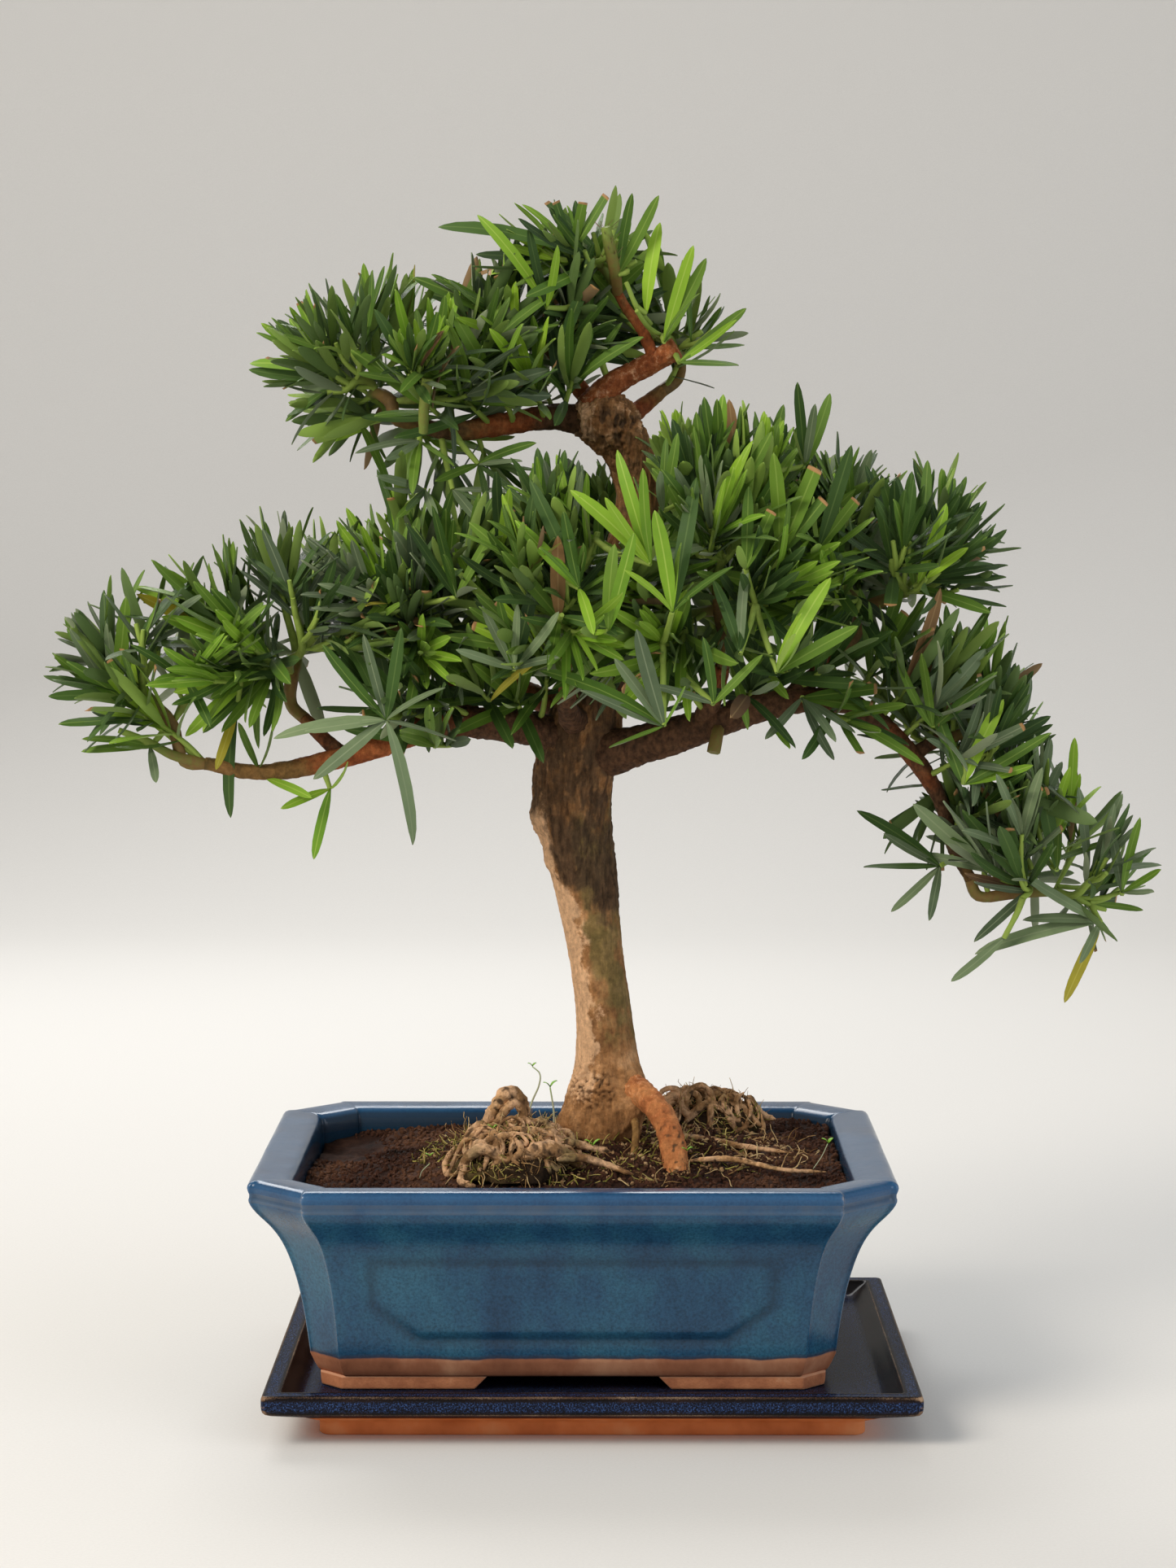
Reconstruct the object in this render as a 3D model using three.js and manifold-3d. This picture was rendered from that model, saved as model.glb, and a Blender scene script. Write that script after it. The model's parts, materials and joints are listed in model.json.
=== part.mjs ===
// A podocarpus bonsai in a glazed rectangular pot that stands on its drip tray.
// Millimetres, +Z up. The origin is the centre of the tray's flat underside, and the front faces -Y.
import * as THREE from 'three';
import { mergeVertices } from 'three/addons/utils/BufferGeometryUtils.js';
import Module from 'manifold-3d';

const wasm = await Module();
wasm.setup();

// Driving dimensions
const gap = 0.3;                 // air between two pieces that touch
const trayLength = 251;
const trayDepth = 201;
const trayHeight = 20.2;
const trayFloor = 15.2;          // height of the floor that the pot stands on
const trayFootInset = 20.4;      // how far the tray's foot stands back from its rim
const potLength = 250;
const potDepth = 200;
const potCentre = [-7.5, 2];     // the pot stands a little left of the tray's middle
const potTop = 97.8;
const footHeight = 5.3;
const footGap = 71;              // width of the cut-outs between the feet at front and back
const sideFootGap = 56;
const lipHeight = 16.8;          // height of the pot's flared lip
const lipOverhang = 8.8;         // how far the lip stands out of the body
const rimWidth = 17;             // from the lip's outer edge to the inner wall
const soilEdge = 91;             // height of the soil along the pot's wall
const ground = 100;              // height of the trunk's flat foot
const leafLength = 44;
const leafWidth = 11.5;
const leafThickness = 1.2;
const leafSpacing = 4.6;         // least distance between the middles of two leaves
const spineShares = [0.08, 0.18, 0.3, 0.44, 0.58, 0.72, 0.86, 1];
const twigRadius = 1.15;         // radius of the last twigs
const leafyLength = 7.5;         // the stretch at the end of a shoot that its leaves grow on
const goldenAngle = Math.PI * (3 - Math.sqrt(5));
const tinyEdge = 0.03;           // slivers below this size, left by joins and cuts, are closed up
const up = new THREE.Vector3(0, 0, 1);

const colours = {
  glaze: [0x2f5f86, 0.22],
  darkGlaze: [0x1b1a26, 0.25],
  terracotta: [0xa9613c, 0.85],
  soil: [0x3b2620, 0.95],
  moss: [0x6b6a3a, 0.95],
  bark: [0x8a6f50, 0.9],
  redBark: [0xa8623a, 0.85],
  foliage: [0x3f7a2e, 0.6],
};

const object = new THREE.Group();

// Solids

function toSolid(geometry) {
  const bare = geometry.clone();
  bare.deleteAttribute('normal');
  bare.deleteAttribute('uv');
  const merged = mergeVertices(bare, 1e-4);
  return new wasm.Manifold(new wasm.Mesh({
    numProp: 3,
    vertProperties: new Float32Array(merged.attributes.position.array),
    triVerts: new Uint32Array(merged.index.array),
  }));
}

// A cut can leave loose scraps, which are dropped.
function largestBody(solid) {
  return solid.decompose().reduce((best, body) => (body.volume() > best.volume() ? body : best));
}

function addPiece(name, solid, colour) {
  const mesh = largestBody(solid.simplify(tinyEdge)).getMesh();
  const geometry = new THREE.BufferGeometry();
  geometry.setAttribute('position', new THREE.BufferAttribute(new Float32Array(mesh.vertProperties), 3));
  geometry.setIndex(new THREE.BufferAttribute(new Uint32Array(mesh.triVerts), 1));
  geometry.computeVertexNormals();
  const [color, roughness] = colours[colour];
  const material = new THREE.MeshStandardMaterial({ color, roughness, metalness: 0 });
  const piece = new THREE.Mesh(geometry, material);
  piece.name = name;
  object.add(piece);
}

// A closed skin through rings of points that turn anticlockwise about the way they follow each other.
function skin(rings) {
  const count = rings[0].length;
  const points = rings.flat();
  const faces = [];
  for (let ring = 0; ring < rings.length - 1; ring += 1) {
    for (let side = 0; side < count; side += 1) {
      const next = (side + 1) % count;
      const low = ring * count;
      const high = low + count;
      faces.push(low + side, low + next, high + next, low + side, high + next, high + side);
    }
  }
  const last = (rings.length - 1) * count;
  const middle = (ring) => ring.reduce((sum, p) => sum.add(p), new THREE.Vector3()).divideScalar(count);
  points.push(middle(rings[0]), middle(rings.at(-1)));
  for (let side = 0; side < count; side += 1) {
    const next = (side + 1) % count;
    faces.push(points.length - 2, next, side, points.length - 1, last + side, last + next);
  }
  const geometry = new THREE.BufferGeometry().setFromPoints(points);
  geometry.setIndex(faces);
  return toSolid(geometry);
}

function levelRing(outline, height, centre = [0, 0]) {
  return outline.map(([x, y]) => new THREE.Vector3(x + centre[0], y + centre[1], height));
}

// The four corners of an outline, from the points of the one at +X +Y.
function fourCorners(corner) {
  const turned = [...corner].reverse();
  return [
    ...corner,
    ...turned.map(([x, y]) => [-x, y]),
    ...corner.map(([x, y]) => [-x, -y]),
    ...turned.map(([x, y]) => [x, -y]),
  ];
}

// Tray

function roundedOutline(halfLength, halfDepth, radius) {
  const corner = [0, 0.5, 1].map((turn) => {
    const angle = turn * Math.PI / 2;
    return [
      halfLength - radius * (1 - Math.cos(angle)),
      halfDepth - radius * (1 - Math.sin(angle)),
    ];
  });
  return fourCorners(corner);
}

function makeTray() {
  // inset from the rim's outer edge, height, corner radius
  const profile = [
    [trayFootInset, 0, 5],
    [trayFootInset, 5.4, 5],
    [13, 8.8, 4],
    [2.2, 12.3, 2.5],
    [0, 15, 2],
    [0, 19.2, 2],
    [1, trayHeight, 2],
    [6.8, trayHeight, 2],
    [7.8, 19.3, 2],
    [14.2, trayFloor, 2],
  ];
  const rings = profile.map(([inset, height, radius]) => (
    levelRing(roundedOutline(trayLength / 2 - inset, trayDepth / 2 - inset, radius), height)
  ));
  addPiece('tray', skin(rings), 'darkGlaze');
}

// Pot

const potBase = trayFloor + gap + footHeight;
const waistHalf = potLength / 2 - lipOverhang - 14;   // half length of the body above its foot
const lengthOverDepth = (potLength - potDepth) / 2;

// Each corner is cut off, with a small step at both ends of the cut.
function potOutline(half) {
  const cut = 10 + (half - 98) * 0.46;
  const step = cut / 9;
  const halfDepth = half - lengthOverDepth;
  return fourCorners([
    [half, halfDepth - cut],
    [half - step, halfDepth - cut],
    [half - cut, halfDepth - step],
    [half - cut, halfDepth],
  ]);
}

function bodyHalf(height) {
  const t = Math.max(0, (height - potBase - 7) / (lipFoot - potBase - 7));
  return waistHalf + 6 * t + 8 * t ** 3;
}

const lipFoot = potTop - lipHeight;
const innerHalf = (height) => bodyHalf(Math.min(height, lipFoot)) - 8.6;
const innerFloor = potBase + 7;
const innerHeights = [0, 1, 2, 3].map((step) => lipFoot + (innerFloor - lipFoot) * step / 3);

function makePot() {
  const rings = [];
  const ringAt = (half, height) => rings.push(levelRing(potOutline(half), height, potCentre));
  ringAt(waistHalf - 3.6, potBase);
  ringAt(waistHalf, potBase + 7);
  for (let step = 1; step <= 5; step += 1) {
    const height = potBase + 7 + (lipFoot - potBase - 7) * step / 5;
    ringAt(bodyHalf(height), height);
  }
  // the lip swells out in a quarter wave and is rounded over at the top
  ringAt(potLength / 2 - lipOverhang * 0.62, lipFoot + lipHeight * 0.2);
  ringAt(potLength / 2 - lipOverhang * 0.16, lipFoot + lipHeight * 0.42);
  ringAt(potLength / 2, lipFoot + lipHeight * 0.68);
  ringAt(potLength / 2 - 0.6, lipFoot + lipHeight * 0.88);
  ringAt(potLength / 2 - 3.4, potTop);
  ringAt(potLength / 2 - rimWidth + 2.5, potTop - 0.6);
  ringAt(potLength / 2 - rimWidth, potTop - 3);
  innerHeights.forEach((height) => ringAt(innerHalf(height), height));
  let pot = skin(rings);
  for (const side of [-1, 1]) {
    const drain = new THREE.CylinderGeometry(7, 7, 20, 12);
    drain.rotateX(Math.PI / 2);
    drain.translate(potCentre[0] + side * potLength / 5, potCentre[1], potBase + 4);
    pot = pot.subtract(toSolid(drain));
  }
  addPiece('pot', pot, 'glaze');
}

// Each foot is an L that follows one corner of the pot.
function makeFeet() {
  const half = waistHalf - 4;
  const halfDepth = half - lengthOverDepth;
  const cut = 9;
  const wall = 13;
  const names = ['front_left', 'front_right', 'back_left', 'back_right'];
  names.forEach((name, index) => {
    const sideX = index % 2 === 0 ? -1 : 1;
    const sideY = index < 2 ? -1 : 1;
    const shape = new THREE.Shape();
    const corners = [
      [footGap / 2, halfDepth],
      [footGap / 2, halfDepth - wall],
      [half - wall, halfDepth - wall],
      [half - wall, sideFootGap / 2],
      [half, sideFootGap / 2],
      [half, halfDepth - cut],
      [half - cut, halfDepth],
    ];
    shape.setFromPoints(corners.map(([x, y]) => new THREE.Vector2(x * sideX, y * sideY)));
    const foot = new THREE.ExtrudeGeometry(shape, { depth: footHeight - gap, bevelEnabled: false });
    foot.translate(potCentre[0], potCentre[1], trayFloor + gap);
    addPiece(`pot_foot_${name}`, toSolid(foot), 'terracotta');
  });
}

// Soil: it lies low along the wall, has shrunk from it at the back left, and rises to the foot of the
// trunk, where mats of moss and rootlets lie on it.

const trunkFoot = [4, 8];
const matHeight = 3.2;
const matSpacing = 29;

function soilHeight(x, y) {
  const distance = Math.hypot((x - trunkFoot[0]) / 1.25, y - trunkFoot[1]);
  const rise = THREE.MathUtils.smoothstep(1 - distance / 84, 0, 0.82);
  const edge = soilEdge + 2 * (x / 100) - 1.2 * (1 - y / 90);
  const crumbs = 1.1 * Math.sin(x * 0.19 + 1) * Math.sin(y * 0.23) * (1 - rise);
  const sunk = 6 * Math.exp(-(((x + 105) / 22) ** 2) - ((y - 52) / 30) ** 2);
  const wave = Math.PI * 2 / matSpacing;
  const mats = matHeight * Math.sin(x * wave + 0.9) * Math.sin(y * wave - 0.4)
    * THREE.MathUtils.smoothstep(distance, 22, 34) * THREE.MathUtils.smoothstep(rise, 0.2, 0.7);
  return Math.min(edge + crumbs + (ground - gap - edge) * rise, ground - gap) - sunk + Math.max(mats, -1);
}

const insetOutline = (height) => potOutline(innerHalf(height) - gap);

const edgeCounts = insetOutline(soilEdge).map(([x, y], index, outline) => {
  const [nextX, nextY] = outline[(index + 1) % outline.length];
  return Math.ceil(Math.hypot(nextX - x, nextY - y) / 19);
});

function subdivide(outline) {
  return outline.flatMap(([x, y], index) => {
    const [nextX, nextY] = outline[(index + 1) % outline.length];
    const count = edgeCounts[index];
    return Array.from({ length: count }, (_, k) => [
      x + (nextX - x) * k / count,
      y + (nextY - y) * k / count,
    ]);
  });
}

function makeSoil() {
  const wallRings = innerHeights.toReversed().map((height) => (
    levelRing(subdivide(insetOutline(height)), Math.max(height, innerFloor + gap), potCentre)
  ));
  const top = subdivide(insetOutline(soilEdge));
  const topRings = [0.997, 0.86, 0.76, 0.66, 0.56, 0.46, 0.36, 0.24, 0.1].map((share) => (
    levelRing(top.map(([x, y]) => [x * share, y * share]), 0, potCentre)
      .map((p) => p.setZ(soilHeight(p.x, p.y)))
  ));
  return skin([...wallRings, ...topRings]);
}

const soil = makeSoil();
const soilCutter = soil.translate([0, 0, gap]);

// Limbs: each is one tapering tube through a few places, given as x, y, z and radius.

function limbCurve(path) {
  const points = path.map(([x, y, z]) => new THREE.Vector3(x, y, z));
  return new THREE.CatmullRomCurve3(points, false, 'catmullrom', 0.5);
}

function radiusAlong(path, t) {
  const place = t * (path.length - 1);
  const index = Math.min(Math.floor(place), path.length - 2);
  return THREE.MathUtils.lerp(path[index][3], path[index + 1][3], place - index);
}

function limbSolid(path, { sides = 6, perStretch = 2, swell = 0, relief = () => 1 } = {}) {
  const curve = limbCurve(path);
  const count = (path.length - 1) * perStretch;
  const rings = [];
  let across = new THREE.Vector3(0, 1, 0.37);
  for (let step = 0; step <= count; step += 1) {
    const t = step / count;
    const along = curve.getTangent(t);
    const centre = curve.getPoint(t);
    if (step === 0) centre.addScaledVector(along, -swell);
    if (step === count) centre.addScaledVector(along, swell);
    across = across.clone().addScaledVector(along, -across.dot(along)).normalize();
    const third = along.clone().cross(across);
    rings.push(Array.from({ length: sides }, (_, side) => {
      const angle = side / sides * Math.PI * 2;
      const radius = radiusAlong(path, t) * relief(angle, centre.z) + swell;
      return centre.clone()
        .addScaledVector(across, radius * Math.cos(angle))
        .addScaledVector(third, radius * Math.sin(angle));
    }));
  }
  return skin(rings);
}

// The trunk leans left as it rises, swells where the boughs part and ends in a knob at the old cut.
const trunkPath = [
  [3.8, 8, 94, 14.4],
  [4.6, 8, 113, 14.6],
  [5.4, 8, 128, 13],
  [4.2, 8, 152, 11.5],
  [0.9, 8, 179, 11.3],
  [-3.4, 8, 205, 12.6],
  [-7.8, 8, 231, 15],
  [-6, 8, 258, 16],
  [2.2, 10, 291, 13],
  [10.3, 12, 320, 11.2],
  [18.4, 11, 354, 8.8],
  [14, 8, 378, 9.6],
  [6.4, 6, 389, 12],
  [3, 6, 397, 9.5],
  [2.4, 6, 401, 5],
];

function trunkRelief(angle, height) {
  const flare = Math.exp(-(height - ground) / 11);
  const toes = 0.2 * flare * Math.max(0, Math.cos(1.5 * angle - 2.2)) ** 2;
  return 1 + toes + 0.035 * Math.sin(2 * angle + height * 0.05) + 0.025 * Math.sin(3 * angle - height * 0.09);
}

function makeTrunk(swell) {
  const belowGround = new THREE.BoxGeometry(80, 80, 40);
  belowGround.translate(trunkFoot[0], trunkFoot[1], ground - 20 - swell);
  return limbSolid(trunkPath, { sides: 11, perStretch: 2, swell, relief: trunkRelief })
    .subtract(toSolid(belowGround));
}

// Every bough starts inside the limb that carries it, and is then cut clear of it.
const boughs = [
  { name: 'bough_left', parent: 'trunk', path: [
    [-6, 6, 260, 9.5], [-26, 0, 267, 7], [-60, -13, 269, 5.6],
    [-95, -26, 258, 4.4], [-128, -30, 251.5, 3.2], [-152, -32, 255, 2.5]] },
  { name: 'bough_left_inner', parent: 'bough_left', path: [
    [-44, -7, 268, 3.8], [-52, -4, 278, 3.2], [-58, -4, 288, 2.8]] },
  { name: 'bough_left_outer', parent: 'bough_left', path: [
    [-97, -27, 257, 3.2], [-106, -22, 264, 2.8], [-114, -18, 272, 2.5]] },
  { name: 'bough_centre_front', parent: 'trunk', path: [
    [-5, 6, 268, 6.4], [-9, -16, 273, 4.6], [-10, -34, 282, 3.4], [-10, -44, 292, 2.8]] },
  { name: 'bough_right', parent: 'trunk', path: [
    [-3, 6, 254, 10], [21, -6, 261, 8], [46, -15, 269.4, 6.6], [74, -20, 278.5, 5.6], [100, -22, 279, 4.6]] },
  { name: 'bough_right_centre', parent: 'bough_right', path: [
    [42, -14, 268, 4.6], [48, -22, 281, 3.6], [51, -28, 293, 3]] },
  { name: 'bough_right_crown', parent: 'bough_right', path: [
    [76, -20, 278.5, 4.2], [87, -18, 288, 3.6], [98, -15, 299, 3]] },
  { name: 'bough_right_drop', parent: 'bough_right', path: [
    [100, -22, 279, 4.3], [115, -22, 269, 3.9], [128, -20, 255, 3.5],
    [138, -15, 239, 3.1], [144, -10, 220, 2.7], [151, -8, 207, 2.4]] },
  { name: 'bough_right_lower', parent: 'bough_right_drop', path: [
    [126, -20, 257, 3], [134, -17, 262, 2.6], [142, -14, 264, 2.4]] },
  { name: 'bough_back_left', parent: 'trunk', path: [
    [-4, 10, 270, 6.6], [-26, 26, 279, 5], [-45, 38, 289, 3.6], [-55, 44, 298, 2.8]] },
  { name: 'bough_back_right', parent: 'trunk', path: [
    [0, 10, 280, 6.6], [30, 28, 291, 5], [58, 42, 303, 3.8], [72, 48, 312, 2.9]] },
  { name: 'bough_back_centre', parent: 'trunk', path: [
    [8, 12, 312, 5], [10, 29, 317, 4], [12, 43, 324, 3]] },
  { name: 'bough_upper_left', parent: 'trunk', path: [
    [4, 7, 388, 6.4], [-15, 8, 391, 5.2], [-37, 3, 388, 4.4], [-56, -3, 385, 3.5], [-70, -7, 388, 2.8]] },
  { name: 'bough_apex_left', parent: 'trunk', path: [
    [4, 8, 391, 4.8], [-4, 16, 401, 3.6], [-12, 15, 411, 2.8]] },
  { name: 'bough_apex_right', parent: 'trunk', path: [
    [8, 9, 386, 5], [17, 20, 393, 3.8], [28, 25, 402, 2.8]] },
  { name: 'stub_branch', parent: 'trunk', path: [
    [-2, 3, 395, 5.2], [9, 1, 404.5, 4.8], [22, 0, 411.5, 4.4], [33.4, -2, 418, 4.2]] },
  { name: 'top_twig', parent: 'stub_branch', path: [
    [25, -1, 412, 2.6], [20, -2, 424, 2.2], [13, -3, 434, 2], [9, -3, 441, 1.8]] },
];

// Surface roots: they run over the soil and end where they meet it.
const roots = [
  { name: 'root_right', path: [
    [10, 4, 123, 5.4], [20, -6, 119.5, 5.4], [28, -18, 112, 5.1], [32, -28, 102, 5], [34, -37, 84, 5.4]] },
  { name: 'root_thin', path: [
    [16, 0, 112, 2], [17.5, -13, 106, 1.6], [16.5, -24, 98, 1.5], [16, -30, 84, 1.5]] },
];

const limbs = { trunk: trunkPath };
boughs.forEach(({ name, path }) => { limbs[name] = path; });
roots.forEach(({ name, path }) => { limbs[name] = path; });

function makeLimbs() {
  addPiece('trunk', makeTrunk(0), 'bark');
  for (const { name, parent, path } of boughs) {
    const carrier = parent === 'trunk' ? makeTrunk(gap) : limbSolid(limbs[parent], { swell: gap });
    addPiece(name, limbSolid(path).subtract(carrier), 'redBark');
  }
}

// The heaps of old roots and moss beside the trunk: a low dome with roots that loop over it.
const heaps = [
  { name: 'root_heap_left', centre: [-31, -27, 92], half: [24, 27, 17], loops: 2, seed: 5 },
  { name: 'root_ridge_back', centre: [47, 46, 95], half: [25, 11, 15], loops: 1, seed: 8 },
];

function rootLoop(heap, random) {
  const heading = random() * Math.PI * 2;
  const offset = (random() - 0.5) * 0.9;
  const path = [];
  for (const reach of [-1, -0.5, 0, 0.5, 1]) {
    const sway = offset + 0.25 * Math.sin(reach * 4 + heading);
    const x = Math.cos(heading) * reach - Math.sin(heading) * sway;
    const y = Math.sin(heading) * reach + Math.cos(heading) * sway;
    const lift = Math.sqrt(Math.max(0.02, 1 - (x * x + y * y) * 0.9));
    path.push([
      heap.centre[0] + x * heap.half[0] * 0.9,
      heap.centre[1] + y * heap.half[1] * 0.9,
      heap.centre[2] + lift * (heap.half[2] + 1.5),
      1.7 + random() * 0.9,
    ]);
  }
  return limbSolid(path, { sides: 4, perStretch: 1 });
}

function makeRoots() {
  const taken = [soilCutter, makeTrunk(gap)];
  const addClear = (name, solid, colour) => {
    const cleared = taken.reduce((rest, other) => rest.subtract(other), solid);
    addPiece(name, cleared, colour);
  };
  for (const { name, path } of roots) {
    addClear(name, limbSolid(path), 'redBark');
    taken.push(limbSolid(path, { swell: gap }));
  }
  for (const heap of heaps) {
    const random = seeded(heap.seed);
    const dome = new THREE.SphereGeometry(1, 10, 6);
    dome.scale(...heap.half);
    dome.translate(...heap.centre);
    let solid = toSolid(dome);
    for (let loop = 0; loop < heap.loops; loop += 1) {
      solid = solid.add(rootLoop(heap, random));
    }
    addClear(heap.name, solid, 'moss');
  }
}

// Foliage: each mass keeps to an egg-shaped space of its own, and grows from the end of one limb.

const masses = [
  { name: 'foliage_apex_top', limb: 'top_twig', centre: [0, -2, 454], half: [40, 38, 32], shoots: 6 },
  { name: 'foliage_apex_left', limb: 'bough_apex_left', centre: [-22, 8, 425], half: [40, 42, 40], shoots: 7 },
  { name: 'foliage_apex_right', limb: 'bough_apex_right', centre: [31, 10, 424], half: [36, 40, 30], shoots: 6 },
  { name: 'foliage_upper_left', limb: 'bough_upper_left', centre: [-76, -6, 405], half: [55, 48, 43], shoots: 9 },
  { name: 'foliage_left_tip', limb: 'bough_left', centre: [-167, -34, 293], half: [47, 42, 41], shoots: 7 },
  { name: 'foliage_left_outer', limb: 'bough_left_outer', centre: [-117, -16, 305], half: [46, 49, 51], shoots: 7 },
  { name: 'foliage_left_inner', limb: 'bough_left_inner', centre: [-64, -10, 309], half: [46, 56, 49], shoots: 8 },
  { name: 'foliage_centre_front', limb: 'bough_centre_front', centre: [-12, -48, 320], half: [44, 46, 54], shoots: 8 },
  { name: 'foliage_right_centre', limb: 'bough_right_centre', centre: [48, -36, 330], half: [48, 50, 66], shoots: 9 },
  { name: 'foliage_right', limb: 'bough_right_crown', centre: [113, -14, 329], half: [55, 55, 48], shoots: 9 },
  { name: 'foliage_right_lower', limb: 'bough_right_lower', centre: [145, -12, 254], half: [43, 41, 51], shoots: 8 },
  { name: 'foliage_right_tip', limb: 'bough_right_drop', centre: [183, -4, 208], half: [47, 42, 46], shoots: 7 },
  { name: 'foliage_back_left', limb: 'bough_back_left', centre: [-69, 54, 314], half: [50, 46, 42], shoots: 6 },
  { name: 'foliage_back_centre', limb: 'bough_back_centre', centre: [14, 58, 332], half: [46, 44, 50], shoots: 6 },
  { name: 'foliage_back_right', limb: 'bough_back_right', centre: [88, 54, 332], half: [50, 46, 50], shoots: 7 },
];

function seeded(seed) {
  let state = seed * 7919 + 17;
  return () => {
    state = (state * 16807) % 2147483647;
    return state / 2147483647;
  };
}

function depthIn(mass, p) {
  const [rx, ry, rz] = mass.half;
  const [cx, cy, cz] = mass.centre;
  return Math.hypot((p.x - cx) / rx, (p.y - cy) / ry, (p.z - cz) / rz);
}

// A place belongs to the mass whose space holds it most deeply, with a thin seam left between two masses.
function belongsTo(mass, p) {
  const own = depthIn(mass, p);
  return own < 1 && masses.every((other) => other === mass || depthIn(other, p) - own > 0.045);
}

const limbBeads = Object.values(limbs).flatMap((path) => {
  const curve = limbCurve(path);
  const count = path.length * 9;
  return Array.from({ length: count + 1 }, (_, k) => (
    { centre: curve.getPoint(k / count), radius: radiusAlong(path, k / count) * 1.1 }
  ));
});

function clearOfLimbs(p, clearance) {
  return limbBeads.every(({ centre, radius }) => centre.distanceTo(p) > radius + clearance);
}

// Moves a place straight away from every limb that is too near.
function pushClear(p, clearance) {
  for (const { centre, radius } of limbBeads) {
    const distance = centre.distanceTo(p);
    if (distance < radius + clearance) p.sub(centre).multiplyScalar((radius + clearance) / distance).add(centre);
  }
}

// The ends of a mass's shoots, spread evenly from the top of its space to just below its middle.
function shootEnds(mass, random) {
  const turn = random() * Math.PI * 2;
  const reach = new THREE.Vector3(...mass.half).sub(new THREE.Vector3(21, 21, 26));
  return Array.from({ length: mass.shoots }, (_, k) => {
    const height = 1 - 1.8 * (k + 0.5) / mass.shoots;
    const around = turn + k * goldenAngle;
    const level = Math.sqrt(1 - height * height);
    const outward = new THREE.Vector3(level * Math.cos(around), level * Math.sin(around), height);
    const depth = 0.85 + 0.15 * random();
    const tip = outward.clone().multiply(reach).multiplyScalar(depth).add(new THREE.Vector3(...mass.centre));
    const sway = new THREE.Vector3(random() - 0.5, random() - 0.5, 0).multiplyScalar(0.5);
    const heading = outward.multiplyScalar(0.9).addScaledVector(up, 0.4).add(sway).normalize();
    return { tip, heading };
  });
}

const middleOf = (ends) => (
  ends.reduce((sum, end) => sum.add(end.tip), new THREE.Vector3()).divideScalar(ends.length)
);

// Branching: a twig runs half way to the middle of the ends it feeds and forks there. It goes on to
// the half of them that lies more ahead, and a new twig leaves for the others, until each twig ends
// in one shoot.
function branch(path, ends, twigs) {
  const from = path.at(-1).point;
  if (ends.length === 1) {
    const [end] = ends;
    end.heading.add(end.tip.clone().sub(from).normalize()).normalize();
    const foot = end.tip.clone().addScaledVector(end.heading, -leafyLength);
    twigs.push({ path: [...path, { point: foot, radius: twigRadius }], end });
    return;
  }
  const middle = middleOf(ends);
  const fork = from.clone().lerp(middle, 0.5);
  fork.z -= from.distanceTo(middle) * 0.12;
  if (path.length > 1) {
    const onward = from.clone().sub(path.at(-2).point).normalize();
    const ahead = fork.clone().sub(from).dot(onward);
    fork.addScaledVector(onward, Math.max(0, 3 - ahead));
  }
  pushClear(fork, 6);
  const spread = new THREE.Box3().setFromPoints(ends.map((end) => end.tip)).getSize(new THREE.Vector3());
  const axis = ['x', 'y', 'z'].reduce((best, name) => (spread[name] > spread[best] ? name : best));
  const sorted = [...ends].sort((p, q) => p.tip[axis] - q.tip[axis]);
  const half = Math.ceil(sorted.length / 2);
  const radiusFor = (group) => twigRadius * group.length ** 0.4;
  const run = fork.clone().sub(from);
  const [first, second] = [sorted.slice(0, half), sorted.slice(half)]
    .sort((p, q) => run.dot(middleOf(q)) - run.dot(middleOf(p)));
  branch([...path, { point: fork, radius: radiusFor(ends) }], first, twigs);
  branch([{ point: fork, radius: radiusFor(second) * 0.4 }], second, twigs);
}

// A leaf grows out of one four-sided face of its shoot: flat below, with a raised rib above, widest
// below half its length. Its corners are the face's four, then left, right, rib and tip.
const leafFaces = [
  [0, 1, 5], [0, 5, 4], [1, 2, 5], [3, 0, 4], [2, 3, 6], [3, 4, 6], [2, 6, 5],
  [6, 4, 7], [5, 6, 7], [4, 5, 7],
];

function leafPoints(root, along, face, length) {
  const width = leafWidth * Math.min(1, 0.25 + length / leafLength);
  const side = face.clone().cross(along).normalize().multiplyScalar(width / 2);
  const middle = root.clone().addScaledVector(along, length * 0.42);
  return [
    middle.clone().sub(side),
    middle.clone().add(side),
    middle.clone().addScaledVector(face, leafThickness),
    root.clone().addScaledVector(along, length),
  ];
}

// A leaf that would leave its space, touch a limb or crowd another shoot's leaf is tried turned a
// little each way, then shorter, and is then left out.
function fitLeaf(mass, root, axis, radial, spread, taken) {
  for (let attempt = 0; attempt < 63; attempt += 1) {
    const angle = spread * [1, 0.72, 1.25][attempt % 3];
    const turn = [0, 0.45, -0.45][Math.floor(attempt / 3) % 3];
    const length = leafLength * (1 - 0.08 * Math.floor(attempt / 9));
    const sideways = radial.clone().applyAxisAngle(axis, turn);
    const along = axis.clone().multiplyScalar(Math.cos(angle)).addScaledVector(sideways, Math.sin(angle));
    const face = along.clone().cross(sideways).cross(along).negate().normalize();
    const points = leafPoints(root, along, face, length);
    const spine = spineShares.map((share) => root.clone().addScaledVector(along, length * share));
    const inside = [...points, ...spine].every((p) => belongsTo(mass, p) && clearOfLimbs(p, 1.2))
      && spine.slice(1).every((p) => clearOfLimbs(p, leafWidth * 0.36));
    const outer = spine.slice(2);
    const free = outer.every((p) => taken.every((q) => p.distanceTo(q) > leafSpacing));
    if (inside && free) return { points, outer };
  }
  return null;
}

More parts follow.
